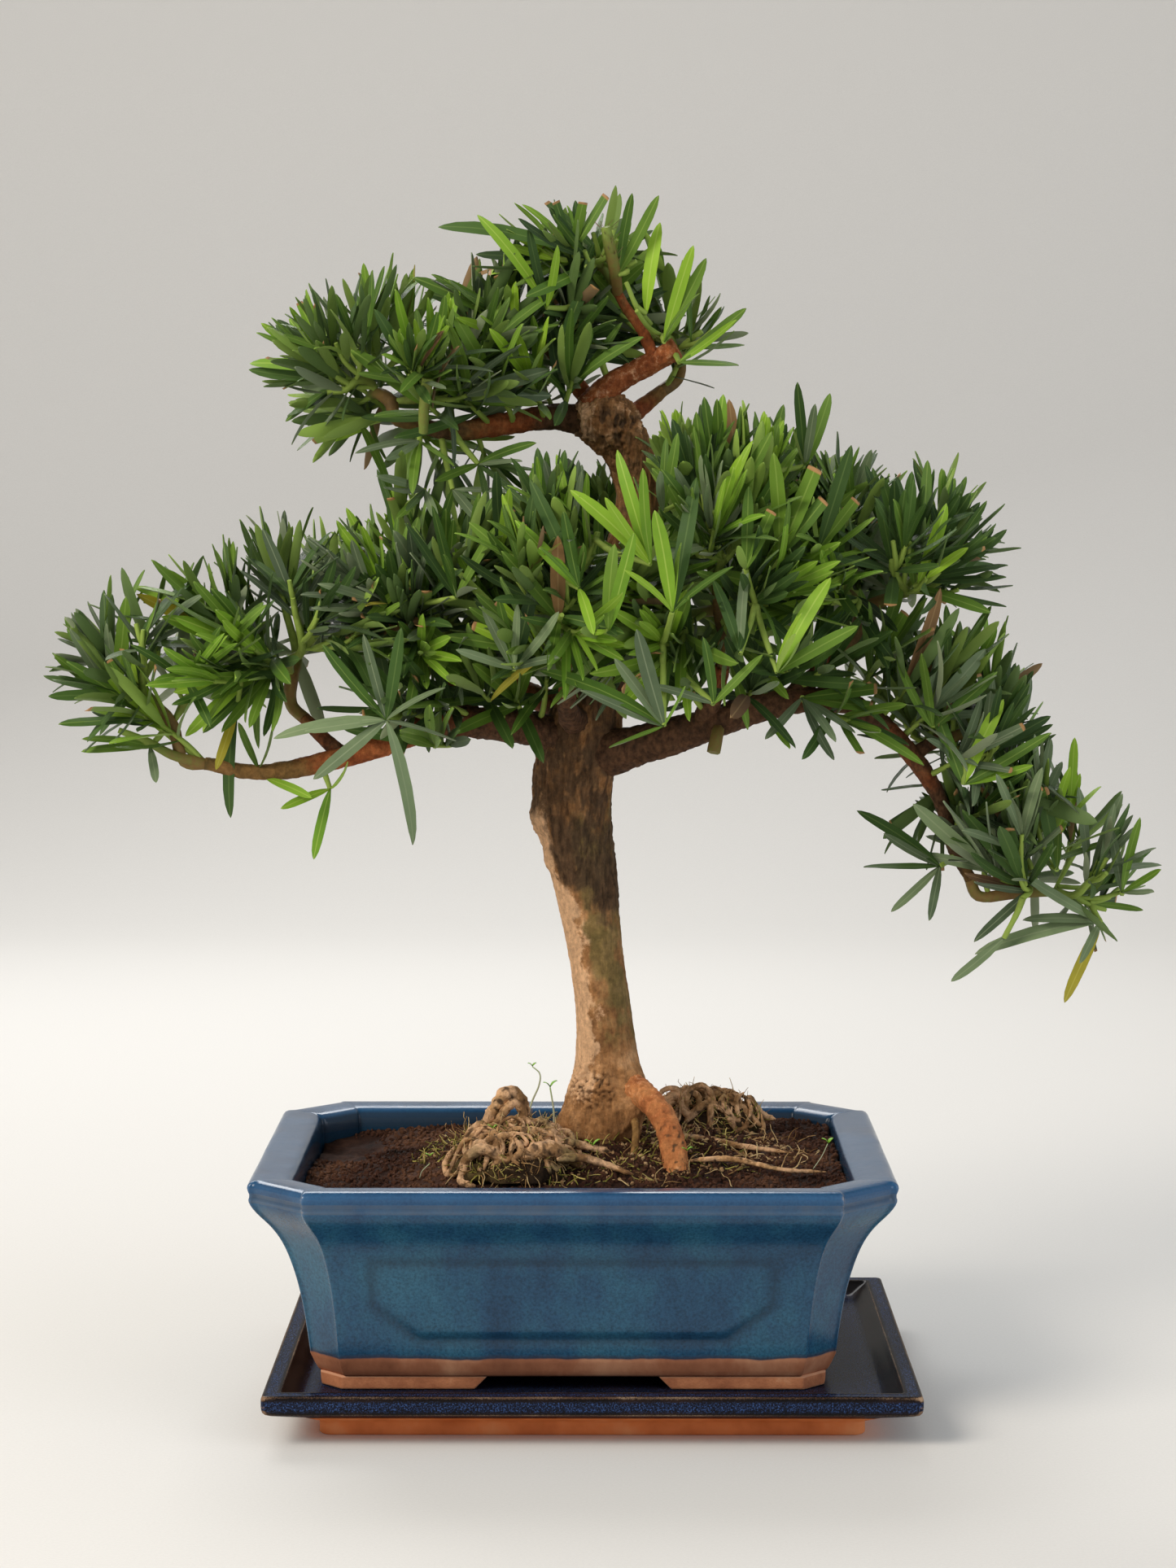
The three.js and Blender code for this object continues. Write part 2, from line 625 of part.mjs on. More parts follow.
// Places close together along a twig.
function placesAlong(path) {
  return path.slice(1).flatMap(({ point, radius }, index) => (
    [0.1, 0.2, 0.3, 0.4, 0.5, 0.6, 0.7, 0.8, 0.9, 1].map((share) => ({
      point: path[index].point.clone().lerp(point, share),
      radius: THREE.MathUtils.lerp(path[index].radius, radius, share),
    }))
  ));
}

// The stretch out of the mass's foot stands on the limb that carries it, so only the rest is tested.
function twigFits(mass, path, foot) {
  const tested = path[0] === foot ? path.slice(1) : path;
  return placesAlong(tested).every(({ point, radius }) => (
    belongsTo(mass, point) && clearOfLimbs(point, radius + 0.4)
  ));
}

function ringAround(centre, across, third, radius) {
  return Array.from({ length: 3 }, (_, side) => {
    const angle = side / 3 * Math.PI * 2;
    return centre.clone()
      .addScaledVector(across, radius * Math.cos(angle))
      .addScaledVector(third, radius * Math.sin(angle));
  });
}

// One twig with its leafy shoot: a three-sided tube whose last stretches carry two whorls of leaves
// and one more at the end.
function shootSolid(mass, { path, end }, taken, random) {
  const rings = [];
  let across = new THREE.Vector3(0.31, 0.87, -0.38);
  let third;
  const turnTo = (along) => {
    across = across.clone().addScaledVector(along, -across.dot(along)).normalize();
    third = along.clone().cross(across);
  };
  for (let step = 0; step < path.length - 1; step += 1) {
    turnTo(path[step + 1].point.clone().sub(path[Math.max(0, step - 1)].point).normalize());
    rings.push(ringAround(path[step].point, across, third, path[step].radius));
  }
  turnTo(end.heading);
  const firstLeafy = rings.length;
  for (let level = 0; level < 3; level += 1) {
    const centre = path.at(-1).point.clone().addScaledVector(end.heading, level * leafyLength / 2);
    rings.push(ringAround(centre, across, third, twigRadius * 1.2));
  }
  const points = rings.flat();
  const faces = [];
  const growLeaf = (corners, radial, spread) => {
    const root = corners.reduce((sum, k) => sum.add(points[k]), new THREE.Vector3()).divideScalar(4);
    const leaf = fitLeaf(mass, root, end.heading, radial, spread, taken);
    if (!leaf) return false;
    const all = [...corners, ...leaf.points.map((_, k) => points.length + k)];
    points.push(...leaf.points);
    taken.push(...leaf.outer);
    leafFaces.map((face) => face.map((k) => all[k]))
      .filter((face) => new Set(face).size === 3)
      .forEach((face) => faces.push(...face));
    return true;
  };
  for (let ring = 0; ring < rings.length - 1; ring += 1) {
    for (let side = 0; side < 3; side += 1) {
      const next = (side + 1) % 3;
      const corners = [ring * 3 + side, ring * 3 + next, ring * 3 + 3 + next, ring * 3 + 3 + side];
      const level = ring - firstLeafy;
      const middle = points[corners[0]].clone().add(points[corners[1]]).multiplyScalar(0.5);
      const centre = rings[ring].reduce((sum, p) => sum.add(p), new THREE.Vector3()).divideScalar(3);
      const radial = middle.sub(centre).normalize().applyAxisAngle(end.heading, level === 0 ? 0 : 0.9);
      const spread = (level === 0 ? 1.15 : 0.62) + 0.35 * (random() - 0.5);
      if (level >= 0 && growLeaf(corners, radial, spread)) continue;
      const [a, b, c, d] = corners;
      faces.push(a, b, c, a, c, d);
    }
  }
  const last = (rings.length - 1) * 3;
  if (!growLeaf([last, last + 1, last + 2, last + 2], across.clone(), 0.12)) {
    faces.push(last, last + 1, last + 2);
  }
  faces.push(0, 2, 1);
  const geometry = new THREE.BufferGeometry().setFromPoints(points);
  geometry.setIndex(faces);
  return toSolid(geometry);
}

function makeMass(mass, index) {
  const random = seeded(index + 1);
  const curve = limbCurve(limbs[mass.limb]);
  const heading = curve.getTangent(1);
  const stemRadius = Math.min(radiusAlong(limbs[mass.limb], 1) * 0.9, 2.6);
  const foot = { point: curve.getPoint(1).addScaledVector(heading, gap), radius: stemRadius };
  const straight = { point: foot.point.clone().addScaledVector(heading, 8), radius: stemRadius };
  const ends = shootEnds(mass, random)
    .filter(({ tip }) => belongsTo(mass, tip) && clearOfLimbs(tip, 3));
  const twigs = [];
  branch([foot, straight], ends, twigs);
  const kept = twigs.filter((twig) => twigFits(mass, twig.path, foot));
  const taken = kept.flatMap((twig) => placesAlong(twig.path).map(({ point }) => point));
  const shoots = kept.map((twig) => shootSolid(mass, twig, taken, random));
  addPiece(mass.name, shoots.reduce((whole, shoot) => whole.add(shoot)), 'foliage');
}

makeTray();
makePot();
makeFeet();
addPiece('soil', soil, 'soil');
makeLimbs();
makeRoots();
masses.forEach(makeMass);

export default object;
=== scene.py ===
import json
import math
from collections import namedtuple
from functools import partial

import bpy
import numpy as np
from mathutils import Matrix, Vector, noise

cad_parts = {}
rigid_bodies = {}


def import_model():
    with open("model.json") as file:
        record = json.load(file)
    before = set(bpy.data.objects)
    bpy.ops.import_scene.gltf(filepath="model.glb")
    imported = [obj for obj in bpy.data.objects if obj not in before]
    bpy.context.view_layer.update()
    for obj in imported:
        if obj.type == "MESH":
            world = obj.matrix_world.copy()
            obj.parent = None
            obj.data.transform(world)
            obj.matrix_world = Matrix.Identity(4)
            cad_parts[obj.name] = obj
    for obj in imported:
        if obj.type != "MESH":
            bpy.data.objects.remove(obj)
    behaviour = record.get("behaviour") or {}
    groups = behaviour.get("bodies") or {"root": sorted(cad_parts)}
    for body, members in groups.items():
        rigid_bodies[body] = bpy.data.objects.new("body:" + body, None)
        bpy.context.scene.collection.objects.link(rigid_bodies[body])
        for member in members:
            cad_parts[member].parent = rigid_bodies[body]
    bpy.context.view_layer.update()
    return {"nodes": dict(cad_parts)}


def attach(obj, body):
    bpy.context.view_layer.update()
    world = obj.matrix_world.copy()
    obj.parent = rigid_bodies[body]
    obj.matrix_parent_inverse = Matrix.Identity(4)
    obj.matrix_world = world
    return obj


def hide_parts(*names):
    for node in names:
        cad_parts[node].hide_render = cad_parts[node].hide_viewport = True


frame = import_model()
print("frame loaded:", len(frame["nodes"]), "nodes")

# Shapes are worked out in millimetres and made in metres.
mm = 0.001
goldenAngle = math.pi * (3 - math.sqrt(5))
fullTurn = 6.283      # radians
# settings that many nodes share
smooth, tint = {"interpolation_type": "SMOOTHSTEP"}, {"data_type": "RGBA"}


def seeded(seed):
    state = seed * 7919 + 17

    def draw():
        nonlocal state
        state = (state * 16807) % 2147483647
        return state / 2147483647
    return draw


def linearColour(text):
    channels = [int(text[i:i + 2], 16) / 255 for i in (1, 3, 5)]
    return [c / 12.92 if c <= 0.04045 else ((c + 0.055) / 1.055) ** 2.4 for c in channels] + [1.0]


# Links a source to an input. A node as the source gives its first output in use.
def connect(tree, source, target):
    if hasattr(source, "outputs"):
        source = next(output for output in source.outputs if output.enabled)
    tree.links.new(source, target)


def addNode(tree, kind, settings=None, values=None, links=None):
    node = tree.nodes.new(kind)
    for name, value in (settings or {}).items():
        setattr(node, name, value)
    for name, value in (values or {}).items():
        node.inputs[name].default_value = value
    for name, source in (links or {}).items():
        connect(tree, source, node.inputs[name])
    return node


# An empty material: with it come a function that adds a node to it, its shader, places on the piece
# and the named values of its mesh.
def newMaterial(name, shader, *labels):
    material = bpy.data.materials.new(name)
    material.use_nodes = True
    tree = material.node_tree
    tree.nodes.clear()
    surface = addNode(tree, "ShaderNodeBsdfPrincipled", values=shader)
    addNode(tree, "ShaderNodeOutputMaterial", links={"Surface": surface})
    place = addNode(tree, "ShaderNodeTexCoord").outputs["Object"]
    marks = [addNode(tree, "ShaderNodeAttribute", {"attribute_name": label}).outputs["Fac"]
             for label in labels]
    return material, partial(addNode, tree), surface, place, *marks


# Feeds colour, roughness and relief into a shader. Relief is in millimetres.
def finishMaterial(material, surface, colour, roughness, height, relief):
    tree = material.node_tree
    bump = addNode(tree, "ShaderNodeBump", values={"Strength": 1, "Distance": relief * mm},
                   links={"Height": height})
    for name, source in (("Base Color", colour), ("Roughness", roughness), ("Normal", bump)):
        connect(tree, source, surface.inputs[name])
    return material


# Sets a colour ramp from pairs of place and hex colour.
def rampStops(ramp, stops):
    entries = ramp.color_ramp.elements
    while len(entries) < len(stops):
        entries.new(0.5)
    for entry, (place, colour) in zip(entries, stops):
        entry.position = place
        entry.color = linearColour(colour)


def addObject(name, data):
    thing = bpy.data.objects.new(name, data)
    bpy.context.scene.collection.objects.link(thing)
    return thing


def storeValues(mesh, label, values, kind="FLOAT", domain="POINT"):
    layer = mesh.attributes.new(label, kind, domain)
    values = np.asarray(values, np.float32) if "FLOAT" in kind else values
    layer.data.foreach_set("vector" if kind == "FLOAT_VECTOR" else "value", values)


def makePiece(name, points, faces, material=None, attributes=None, edges=()):
    mesh = bpy.data.meshes.new(name)
    mesh.from_pydata((np.asarray(points, float) * mm).tolist(), edges, faces)
    if material:
        mesh.materials.append(material)
    for label, values in (attributes or {}).items():
        storeValues(mesh, label, values)
    mesh.polygons.foreach_set("use_smooth", [True] * len(mesh.polygons))
    mesh.update()
    return addObject(name, mesh)


def handOver(piece, slot, *nodes):
    if nodes:
        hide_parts(*nodes)
    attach(piece, "root")
    print("made", piece.name, len(piece.data.polygons), "faces")


# A closed skin through rings of the same number of points.
def skin(rings):
    rings = np.asarray(rings, float)
    ringCount, count = rings.shape[:2]
    faces = []
    for ring in range(ringCount - 1):
        low, high = ring * count, (ring + 1) * count
        faces += [(low + k, low + (k + 1) % count, high + (k + 1) % count, high + k) for k in range(count)]
    last = (ringCount - 1) * count
    foot, head = ringCount * count, ringCount * count + 1
    faces += [(foot, (k + 1) % count, k) for k in range(count)]
    faces += [(head, last + k, last + (k + 1) % count) for k in range(count)]
    return np.vstack([rings.reshape(-1, 3), rings[0].mean(0), rings[-1].mean(0)]), faces


# Several skins as one.
def joined(skins):
    allPoints, allFaces, offset = [], [], 0
    for points, faces in skins:
        allPoints.append(points)
        allFaces += [tuple(v + offset for v in face) for face in faces]
        offset += len(points)
    return np.vstack(allPoints), allFaces


# How far each vertex stands out from its neighbours: 0 on the flat, 1 on a sharp edge, below 0 in a hollow.
def edgeSharpness(piece):
    mesh = piece.data
    count = len(mesh.vertices)
    places, normals = np.zeros(count * 3), np.zeros(count * 3)
    mesh.vertices.foreach_get("co", places)
    mesh.vertices.foreach_get("normal", normals)
    places, normals = places.reshape(-1, 3), normals.reshape(-1, 3)
    ends = np.zeros(len(mesh.edges) * 2, int)
    mesh.edges.foreach_get("vertices", ends)
    a, b = ends.reshape(-1, 2).T
    run = places[b] - places[a]
    run /= np.linalg.norm(run, axis=1)[:, None] + 1e-12
    total, ways = np.zeros(count), np.zeros(count)
    for start, way in ((a, run), (b, -run)):
        np.add.at(total, start, -(normals[start] * way).sum(1))
        np.add.at(ways, start, 1)
    sharp = np.clip(total / np.maximum(ways, 1) * 4, -1, 1)
    storeValues(mesh, "edgeWear", sharp)


def smoothStep(value, low, high):
    t = np.clip((np.asarray(value, float) - low) / (high - low), 0, 1)
    return t * t * (3 - 2 * t)


def noiseAt(points, size, octaves=1):
    return np.array([noise.fractal(Vector(p) / size, 0.9, 2.1, octaves) for p in points])


# Keeps what the modifiers make as a plain mesh.
def bakeModifiers(piece):
    view = bpy.context.evaluated_depsgraph_get()
    mesh = bpy.data.meshes.new_from_object(piece.evaluated_get(view), preserve_all_data_layers=True,
                                           depsgraph=view)
    piece.modifiers.clear()
    old = piece.data
    piece.data = mesh
    bpy.data.meshes.remove(old)
    mesh.name = piece.name
    return piece


# Runs a node tree on a piece with its named inputs.
def runTree(piece, tree, inputs):
    modifier = piece.modifiers.new(tree.name, "NODES")
    modifier.node_group = tree
    for item in tree.interface.items_tree:
        if item.item_type == "SOCKET" and item.in_out == "INPUT" and item.name in inputs:
            modifier[item.identifier] = inputs[item.name]
    bpy.context.view_layer.update()
    return bakeModifiers(piece)


def newTree(name, sockets):
    tree = bpy.data.node_groups.new(name, "GeometryNodeTree")
    tree.interface.new_socket(name="Geometry", in_out="INPUT", socket_type="NodeSocketGeometry")
    tree.interface.new_socket(name="Geometry", in_out="OUTPUT", socket_type="NodeSocketGeometry")
    for label, kind in sockets.items():
        tree.interface.new_socket(name=label, in_out="INPUT", socket_type="NodeSocket" + kind)
    add = partial(addNode, tree)
    return tree, add, add("NodeGroupInput").outputs, add("NodeGroupOutput")


# Everything in a tree is made real at its end and given its material.
def endTree(tree, geometry, given, result):
    real = addNode(tree, "GeometryNodeRealizeInstances", links={0: geometry})
    painted = addNode(tree, "GeometryNodeSetMaterial", links={0: real, "Material": given["Material"]})
    connect(tree, painted, result.inputs[0])
    return tree


camera = addObject("camera", bpy.data.cameras.new("camera"))
camera.data.sensor_width, camera.data.lens, camera.data.clip_start = 36, 78.95, 0.05
camera.location = (0.0029, -1.3755, 0.3611)
camera.rotation_euler = (math.pi / 2 - 0.0847, 0, 0.0035)
bpy.context.scene.camera = camera


# Stoneware with a runny blue gloss glaze, dipped and fired: deep where it pools, pale and brownish
# where it breaks over edges, cloudy across the walls, with bare orange clay at the foot. The pale edges
# are also a painted highlight; the dark inside the pot and along the panel groove is painted shade,
# in the groove together with pooled glaze.
def makeGlazeBlue():
    material, add, surface, place, curvature, groove = newMaterial(
        "glazeBlue", {"IOR": 1.5, "Specular IOR Level": 0.4}, "edgeWear", "groove")
    upFromTable = add("ShaderNodeSeparateXYZ", links={0: place}).outputs["Z"]
    # clouds about 25 mm wide, drawn out downwards by the running glaze
    run = add("ShaderNodeMapping", values={"Scale": (1, 1, 0.55)}, links={0: place})
    clouds = add("ShaderNodeTexNoise", values={"Scale": 42, "Detail": 5, "Roughness": 0.6}, links={0: run})
    cloudTone = add("ShaderNodeValToRGB", links={0: clouds})
    rampStops(cloudTone, [(0.3, "#1d3f5c"), (0.45, "#234c6a"), (0.58, "#295872"), (0.75, "#32637b")])
    # the fine grain of the glaze, just under a millimetre
    grain = add("ShaderNodeTexNoise", values={"Scale": 900, "Detail": 3, "Roughness": 0.65}, links={0: place})
    grainTone = add("ShaderNodeMapRange", values={1: 0.32, 2: 0.62, 3: 0.62, 4: 1.12}, links={0: grain})
    walls = add("ShaderNodeVectorMath", {"operation": "SCALE"}, links={0: cloudTone, "Scale": grainTone})
    # thicker, bluer glaze on the lip
    lipHeight = add("ShaderNodeMapRange", smooth, {1: 0.084, 2: 0.093}, {0: upFromTable})
    lipShare = add("ShaderNodeMath", {"operation": "MULTIPLY"}, links={0: lipHeight, 1: clouds})
    lip = add("ShaderNodeMix", tint, {7: linearColour("#1f4a7a")}, {0: lipShare, 6: walls})
    # brownish grey where the glaze thins in the band under the rim
    band = add("ShaderNodeMath", {"operation": "COMPARE"}, {1: 0.0912, 2: 0.0019}, {0: upFromTable})
    bandNoise = add("ShaderNodeTexNoise", values={"Scale": 120, "Detail": 4}, links={0: place})
    bandShare = add("ShaderNodeMath", {"operation": "MULTIPLY"}, links={0: band, 1: bandNoise})
    banded = add("ShaderNodeMix", tint, {7: linearColour("#4e5a68")}, {0: bandShare, 6: lip})
    # edges: pale, as glaze break and as painted highlight, a little brown where they are sharpest; hollows:
    # nearly black blue
    paleBreakAndHighlight = add("ShaderNodeMapRange", smooth, {1: 0.25, 2: 0.95, 4: 0.45}, {0: curvature})
    pale = add("ShaderNodeMix", tint, {7: linearColour("#56789c")}, {0: paleBreakAndHighlight, 6: banded})
    breakWear = add("ShaderNodeMath", {"operation": "MULTIPLY"}, links={0: curvature, 1: bandNoise})
    breakShare = add("ShaderNodeMapRange", smooth, {1: 0.4, 2: 0.66, 4: 0.7}, {0: breakWear})
    broken = add("ShaderNodeMix", tint, {7: linearColour("#8d8177")}, {0: breakShare, 6: pale})
    hollowShare = add("ShaderNodeMapRange", smooth, {1: -0.12, 2: -0.8, 4: 0.5}, {0: curvature})
    # glaze pools in the groove round the panel, which also holds painted shade; the inside is darkened as
    # painted shade
    poolAndShadeShare = add("ShaderNodeMath", {"operation": "MAXIMUM"}, links={0: hollowShare, 1: groove})
    pooledAndShaded = add("ShaderNodeMix", tint, {7: linearColour("#122738")}, {0: poolAndShadeShare, 6: broken})
    # a few pits a millimetre across where the glaze blistered
    pits = add("ShaderNodeTexVoronoi", values={"Scale": 24}, links={0: place})
    pitShare = add("ShaderNodeMapRange", values={1: 0.035, 2: 0.02}, links={0: pits})
    pitted = add("ShaderNodeMix", tint, {7: linearColour("#2b211c")}, {0: pitShare, 6: pooledAndShaded})
    # bare clay below a wavering glaze line
    line = add("ShaderNodeTexNoise", values={"Scale": 60, "Detail": 3}, links={0: place})
    waver = add("ShaderNodeMath", {"operation": "MULTIPLY_ADD"}, {1: -0.0026, 2: 0.0013}, {0: line})
    level = add("ShaderNodeMath", {"operation": "ADD"}, links={0: upFromTable, 1: waver})
    clayShare = add("ShaderNodeMapRange", smooth, {1: 0.0288, 2: 0.0280}, {0: level})
    rimShare = add("ShaderNodeMapRange", smooth, {1: 0.0305, 2: 0.0288, 4: 0.7}, {0: level})
    thinned = add("ShaderNodeMix", tint, {7: linearColour("#3c3a44")}, {0: rimShare, 6: pitted})
    clay = add("ShaderNodeValToRGB", links={0: clouds})
    rampStops(clay, [(0.3, "#7c4a31"), (0.5, "#a4694a"), (0.7, "#c6906d")])
    colour = add("ShaderNodeMix", tint, links={0: clayShare, 6: thinned, 7: clay})
    gloss = add("ShaderNodeMapRange", values={1: 0.3, 2: 0.7, 3: 0.12, 4: 0.24}, links={0: clouds})
    matte = add("ShaderNodeMix", values={3: 0.85}, links={0: clayShare, 2: gloss})
    height = add("ShaderNodeMath", {"operation": "MULTIPLY_ADD"}, {1: 0.25}, {0: grain, 2: clouds})
    sunk = add("ShaderNodeMath", {"operation": "SUBTRACT"}, links={0: height, 1: pitShare})
    return finishMaterial(material, surface, colour, matte, sunk, 0.22)


# Stoneware with a dark iron glaze, poured: brown-black, breaking to tan at the edges, with
# speckled cobalt where a second glaze has run together on the flats.
def makeGlazeDark():
    shader = {"Specular IOR Level": 0, "Coat Weight": 0.28, "Coat Roughness": 0.2, "Coat IOR": 1.5}
    material, add, surface, place, curvature, pool = newMaterial("glazeDark", shader, "edgeWear", "pool")
    upFromTable = add("ShaderNodeSeparateXYZ", links={0: place}).outputs["Z"]
    speckle = add("ShaderNodeTexNoise", values={"Scale": 1700, "Detail": 4, "Roughness": 0.7},
                  links={0: place})
    drift = add("ShaderNodeTexNoise", values={"Scale": 55, "Detail": 3}, links={0: place})
    base = add("ShaderNodeValToRGB", links={0: drift})
    rampStops(base, [(0.3, "#0b0909"), (0.55, "#161010"), (0.75, "#2b1d17")])
    cobalt = add("ShaderNodeValToRGB", links={0: speckle})
    rampStops(cobalt, [(0.42, "#0c0c12"), (0.53, "#17213a"), (0.64, "#3a568a")])
    blue = add("ShaderNodeMix", tint, links={0: pool, 6: base, 7: cobalt})
    ragged = add("ShaderNodeMath", {"operation": "MULTIPLY_ADD"}, {1: 0.5, 2: -0.25}, {0: speckle})
    worn = add("ShaderNodeMath", {"operation": "ADD"}, links={0: curvature, 1: ragged})
    tanShare = add("ShaderNodeMapRange", smooth, {1: 0.3, 2: 0.6, 4: 0.9}, {0: worn})
    tan = add("ShaderNodeValToRGB", links={0: drift})
    rampStops(tan, [(0.35, "#6b4f3c"), (0.55, "#8f7158"), (0.7, "#b79a7c")])
    glazed = add("ShaderNodeMix", tint, links={0: tanShare, 6: blue, 7: tan})
    # the glaze was wiped off the foot
    clayShare = add("ShaderNodeMapRange", smooth, {1: 0.0086, 2: 0.0078}, {0: upFromTable})
    clay = add("ShaderNodeValToRGB", links={0: drift})
    rampStops(clay, [(0.3, "#c9703f"), (0.5, "#e2864f"), (0.7, "#eca06b")])
    colour = add("ShaderNodeMix", tint, links={0: clayShare, 6: glazed, 7: clay})
    matte = add("ShaderNodeMix", values={2: 0.26, 3: 0.8}, links={0: clayShare})
    return finishMaterial(material, surface, colour, matte, speckle, 0.08)


# Unglazed terracotta, pressed and fired: matt, orange, with sandy pores and paler scuffs on the edges.
def makeClay():
    shader = {"IOR": 1.45, "Specular IOR Level": 0.25}
    material, add, surface, place, curvature = newMaterial("terracotta", shader, "edgeWear")
    stain = add("ShaderNodeTexNoise", values={"Scale": 70, "Detail": 6, "Roughness": 0.65}, links={0: place})
    sand = add("ShaderNodeTexNoise", values={"Scale": 1400, "Detail": 2}, links={0: place})
    tone = add("ShaderNodeValToRGB", links={0: stain})
    rampStops(tone, [(0.28, "#7a4a31"), (0.45, "#a86a49"), (0.6, "#c07f58"), (0.78, "#d6a480")])
    scuffs = add("ShaderNodeMapRange", smooth, {1: 0.2, 2: 0.7, 4: 0.5}, {0: curvature})
    colour = add("ShaderNodeMix", tint, {7: linearColour("#d6a685")}, {0: scuffs, 6: tone})
    rough = add("ShaderNodeMapRange", values={3: 0.72, 4: 0.95}, links={0: sand})
    return finishMaterial(material, surface, colour, rough, sand, 0.15)


# Peaty potting soil: damp, nearly black in the gaps, red-brown on the crumbs.
def makeSoilMaterial(name, dark, middle, light, size):
    material, add, surface, place = newMaterial(name, {"IOR": 1.4, "Specular IOR Level": 0.2})
    clods = add("ShaderNodeTexNoise", values={"Scale": 1000 / size, "Detail": 8, "Roughness": 0.7},
                links={0: place})
    patches = add("ShaderNodeTexNoise", values={"Scale": 30, "Detail": 3}, links={0: place})
    share = add("ShaderNodeMath", {"operation": "MULTIPLY"}, {1: 0.42}, {0: clods})
    mixed = add("ShaderNodeMath", {"operation": "MULTIPLY_ADD"}, {1: 0.6}, {0: patches, 2: share})
    tone = add("ShaderNodeValToRGB", links={0: mixed})
    rampStops(tone, [(0.36, dark), (0.5, middle), (0.66, light)])
    rough = add("ShaderNodeMapRange", values={3: 0.8, 4: 1}, links={0: clods})
    return finishMaterial(material, surface, tone, rough, clods, size * 0.35)


# Living wood with its bark on: "pale", "algae" and "dark" say how much the bark is weathered pale (on the
# trunk's left side also a painted highlight), grown over with algae, or old, dark and cracked; cracks run
# along the limb.
def makeBark(name, crackLength, tones):
    shader = {"IOR": 1.42, "Specular IOR Level": 0.25}
    material, add, surface, place, pale, algae, dark = newMaterial(name, shader, "pale", "algae", "dark")
    patches = add("ShaderNodeTexNoise", values={"Scale": 95, "Detail": 7, "Roughness": 0.68},
                  links={0: place})
    flakes = add("ShaderNodeTexNoise", values={"Scale": 420, "Detail": 6, "Roughness": 0.7}, links={0: place})
    stretched = add("ShaderNodeMapping", values={"Scale": (1, 1, crackLength)}, links={0: place})
    cracks = add("ShaderNodeTexNoise", values={"Scale": 520, "Detail": 5, "Roughness": 0.6},
                 links={0: stretched})
    wood = add("ShaderNodeValToRGB", links={0: patches})
    rampStops(wood, tones)
    painted = wood
    # the pale colour is weathered bark, and on the trunk's left side a painted highlight
    for mark, colour, spread, spots in ((pale, "#d8ad84", 0.9, flakes), (algae, "#636136", 0.62, patches),
                                        (dark, "#513d2b", 0.9, patches)):
        edge = add("ShaderNodeMath", {"operation": "MULTIPLY_ADD"}, {1: 1.5, 2: -0.75}, {0: spots})
        ragged = add("ShaderNodeMath", {"operation": "ADD"}, links={0: mark, 1: edge})
        share = add("ShaderNodeMapRange", smooth, {1: 0.3, 2: 0.8, 4: spread}, {0: ragged})
        painted = add("ShaderNodeMix", tint, {7: linearColour(colour)}, {0: share, 6: painted})
    # only old bark is cracked through; the young bark below is drawn with faint lines
    crackDepth = add("ShaderNodeMapRange", values={3: 0.82, 4: 0.42}, links={0: dark})
    shade = add("ShaderNodeMapRange", values={1: 0.36, 2: 0.6, 4: 1.12}, links={0: cracks, 3: crackDepth})
    shaded = add("ShaderNodeVectorMath", {"operation": "SCALE"}, links={0: painted, "Scale": shade})
    specks = add("ShaderNodeMapRange", values={1: 0.35, 2: 0.65, 3: 0.75, 4: 1.2}, links={0: flakes})
    colour = add("ShaderNodeVectorMath", {"operation": "SCALE"}, links={0: shaded, "Scale": specks})
    rough = add("ShaderNodeMapRange", values={3: 0.7, 4: 0.95}, links={0: flakes})
    height = add("ShaderNodeMath", {"operation": "ADD"}, links={0: cracks, 1: flakes})
    return finishMaterial(material, surface, colour, rough, height, 0.7)


# Leathery podocarpus leaves: waxy, darker along the blade, with a pale raised rib, a paler underside
# and a tan scar where a leaf was cut across. "tone" moves each spray between the two colours given.
def makeLeafMaterial(name, low, high, rib, under, gloss):
    shader = {"IOR": 1.45, "Specular IOR Level": 0.34, "Sheen Weight": 0.05, "Coat Weight": 0.06,
              "Coat Roughness": 0.35}
    material, add, surface, place, tone, scar, below = newMaterial(name, shader, "tone", "scar", "below")
    plan = add("ShaderNodeUVMap", {"uv_map": "leafPlan"})
    across = add("ShaderNodeSeparateXYZ", links={0: plan}).outputs["X"]
    blotch = add("ShaderNodeTexNoise", values={"Scale": 160, "Detail": 4}, links={0: place})
    toneShare = add("ShaderNodeMath", {"operation": "MULTIPLY_ADD"}, {1: 0.9, 2: -0.2}, {0: tone})
    shift = add("ShaderNodeMath", {"operation": "MULTIPLY_ADD"}, {1: 0.5}, {0: blotch, 2: toneShare})
    blade = add("ShaderNodeMix", tint, {6: linearColour(low), 7: linearColour(high)}, {0: shift})
    # the rib is about a tenth of the blade's width
    ribShare = add("ShaderNodeMapRange", smooth, {1: 0.14, 2: 0.02, 4: 0.42}, {0: across})
    ribbed = add("ShaderNodeMix", tint, {7: linearColour(rib)}, {0: ribShare, 6: blade})
    turned = add("ShaderNodeMix", tint, {7: linearColour(under)}, {0: below, 6: ribbed})
    scarShare = add("ShaderNodeMapRange", smooth, {1: 0.35, 2: 0.8}, {0: scar})
    colour = add("ShaderNodeMix", tint, {7: linearColour("#a9804f")}, {0: scarShare, 6: turned})
    rough = add("ShaderNodeMapRange", values={3: gloss, 4: gloss + 0.25}, links={0: blotch})
    # fine grooves along the blade, a fifth of a millimetre deep at most
    veins = add("ShaderNodeTexWave", {"bands_direction": "X"}, {"Scale": 4, "Distortion": 0.6}, {0: plan})
    return finishMaterial(material, surface, colour, rough, veins.outputs["Fac"], 0.05)


